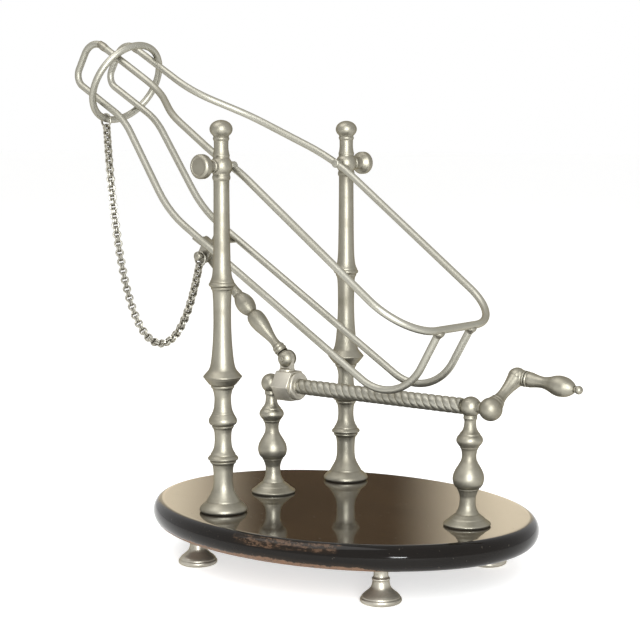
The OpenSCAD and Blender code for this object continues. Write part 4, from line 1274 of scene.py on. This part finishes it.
class CRADLE_OT_stage(bpy.types.Operator):
    """Pale floor, soft lights and the camera"""

    bl_idname = "cradle.stage"
    bl_label = "Stage"

    def execute(self, context):
        scene = context.scene
        floor = self.sheet("floor", FLOOR_HALF, "pale_floor")
        # A glowing card seen only in reflections: a painted reflection, cream round a painted dark middle
        card = self.sheet("dark_card", CARD_HALF, "dark_card")
        card.location = (-CARD_FAR * math.sin(VIEW_TURN), CARD_FAR * math.cos(VIEW_TURN), CARD_HIGH)
        card.rotation_euler = (math.pi / 2, 0.0, VIEW_TURN)
        # The card shows only in the lacquer and in the metal
        card.visible_camera = card.visible_diffuse = card.visible_shadow = False
        self.world(scene)
        for name, setting in LAMPS.items():
            self.lamp(name, *setting)
        self.spare(bpy.data.objects["front_softbox"], bpy.data.objects["board"])
        camera = bpy.data.objects.new("camera", bpy.data.cameras.new("camera"))
        camera.data.sensor_width, camera.data.lens = VIEW_SENSOR, VIEW_LENS
        camera.location = VIEW_PLACE
        camera.rotation_euler = (VIEW_PITCH, 0.0, VIEW_TURN)
        camera.data.clip_start, camera.data.clip_end = 0.01, 60.0
        scene.collection.objects.link(camera)
        scene.camera = camera
        scene.view_settings.view_transform = "Standard"
        return {"FINISHED"}

    def sheet(self, name, half, material):
        """A flat sheet, by half its width and half its depth."""
        bm = bmesh.new()
        bmesh.ops.create_grid(bm, x_segments=1, y_segments=1, size=1.0)
        bmesh.ops.scale(bm, vec=(*half, 1.0), verts=bm.verts)
        mesh = bpy.data.meshes.new(name)
        bm.to_mesh(mesh)
        bm.free()
        mesh.materials.append(finish(material))
        made = bpy.data.objects.new(name, mesh)
        bpy.context.scene.collection.objects.link(made)
        return made

    def lamp(self, name, place, target, size, power, colour):
        """A softbox that faces its target, unseen itself."""
        data = bpy.data.lights.new(name, "AREA")
        data.shape = "RECTANGLE"
        data.size, data.size_y = size
        data.energy = power
        data.color = colour
        lamp = bpy.data.objects.new(name, data)
        lamp.location = place
        lamp.rotation_euler = (Vector(target) - Vector(place)).to_track_quat("-Z", "Y").to_euler()
        lamp.visible_camera = False
        bpy.context.scene.collection.objects.link(lamp)

    def spare(self, lamp, polished):
        """Keeps a lamp off a polished piece, which would mirror it white from behind."""
        spared = bpy.data.collections.new(lamp.name + "_spared")
        spared.objects.link(polished)
        lamp.light_linking.receiver_collection = spared
        spared.collection_objects[0].light_linking.link_state = "EXCLUDE"

    def world(self, scene):
        """White where it is seen, and dimmer as a light."""
        scene.world = bpy.data.worlds.new("studio")
        scene.world.use_nodes = True
        tree = scene.world.node_tree
        tree.nodes.clear()
        w = Wiring(tree)
        strength = w.between(w.seen(), 0.0, 1.0, 0.45, 1.0)
        back = w.add("ShaderNodeBackground", {"Color": (1.0, 1.0, 1.0), "Strength": strength})
        w.add("ShaderNodeOutputWorld", {"Surface": back.outputs["Background"]})


class CRADLE_PT_panel(bpy.types.Panel):
    """Sizes, colours and pieces of the pouring cradle"""

    bl_idname = "CRADLE_PT_panel"
    bl_label = "Pouring cradle"
    bl_space_type = "VIEW_3D"
    bl_region_type = "UI"
    bl_category = "Cradle"

    def draw(self, context):
        for title, group_of in (("Sizes", sizes()), ("Finish", colours())):
            box = self.layout.box()
            box.label(text=title)
            for name in group_of.__annotations__:
                box.prop(group_of, name)
        for made in STEPS:
            self.layout.operator(made.bl_idname)


STEPS = (
    CRADLE_OT_board,
    CRADLE_OT_feet,
    CRADLE_OT_posts,
    CRADLE_OT_balusters,
    CRADLE_OT_lead_screw,
    CRADLE_OT_crank,
    CRADLE_OT_nut,
    CRADLE_OT_link,
    CRADLE_OT_wires,
    CRADLE_OT_lugs,
    CRADLE_OT_thumb_screws,
    CRADLE_OT_slip_ring,
    CRADLE_OT_chain,
    CRADLE_OT_stage,
)
CLASSES = (CradleSizes, CradleFinish, *STEPS, CRADLE_PT_panel)


def register():
    """Adds the classes and their settings to Blender."""
    for made in CLASSES:
        bpy.utils.register_class(made)
    bpy.types.Scene.cradle_sizes = bpy.props.PointerProperty(type=CradleSizes)
    bpy.types.Scene.cradle_finish = bpy.props.PointerProperty(type=CradleFinish)


def unregister():
    """Takes them out again."""
    del bpy.types.Scene.cradle_sizes
    del bpy.types.Scene.cradle_finish
    for made in reversed(CLASSES):
        bpy.utils.unregister_class(made)


def main():
    """Builds every piece and the stage."""
    register()
    for made in STEPS:
        getattr(bpy.ops.cradle, made.bl_idname.split(".")[1])()
    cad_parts["crank_cross_pin"].data.materials[0] = finish("screw_steel")


if __name__ == "__main__":
    main()
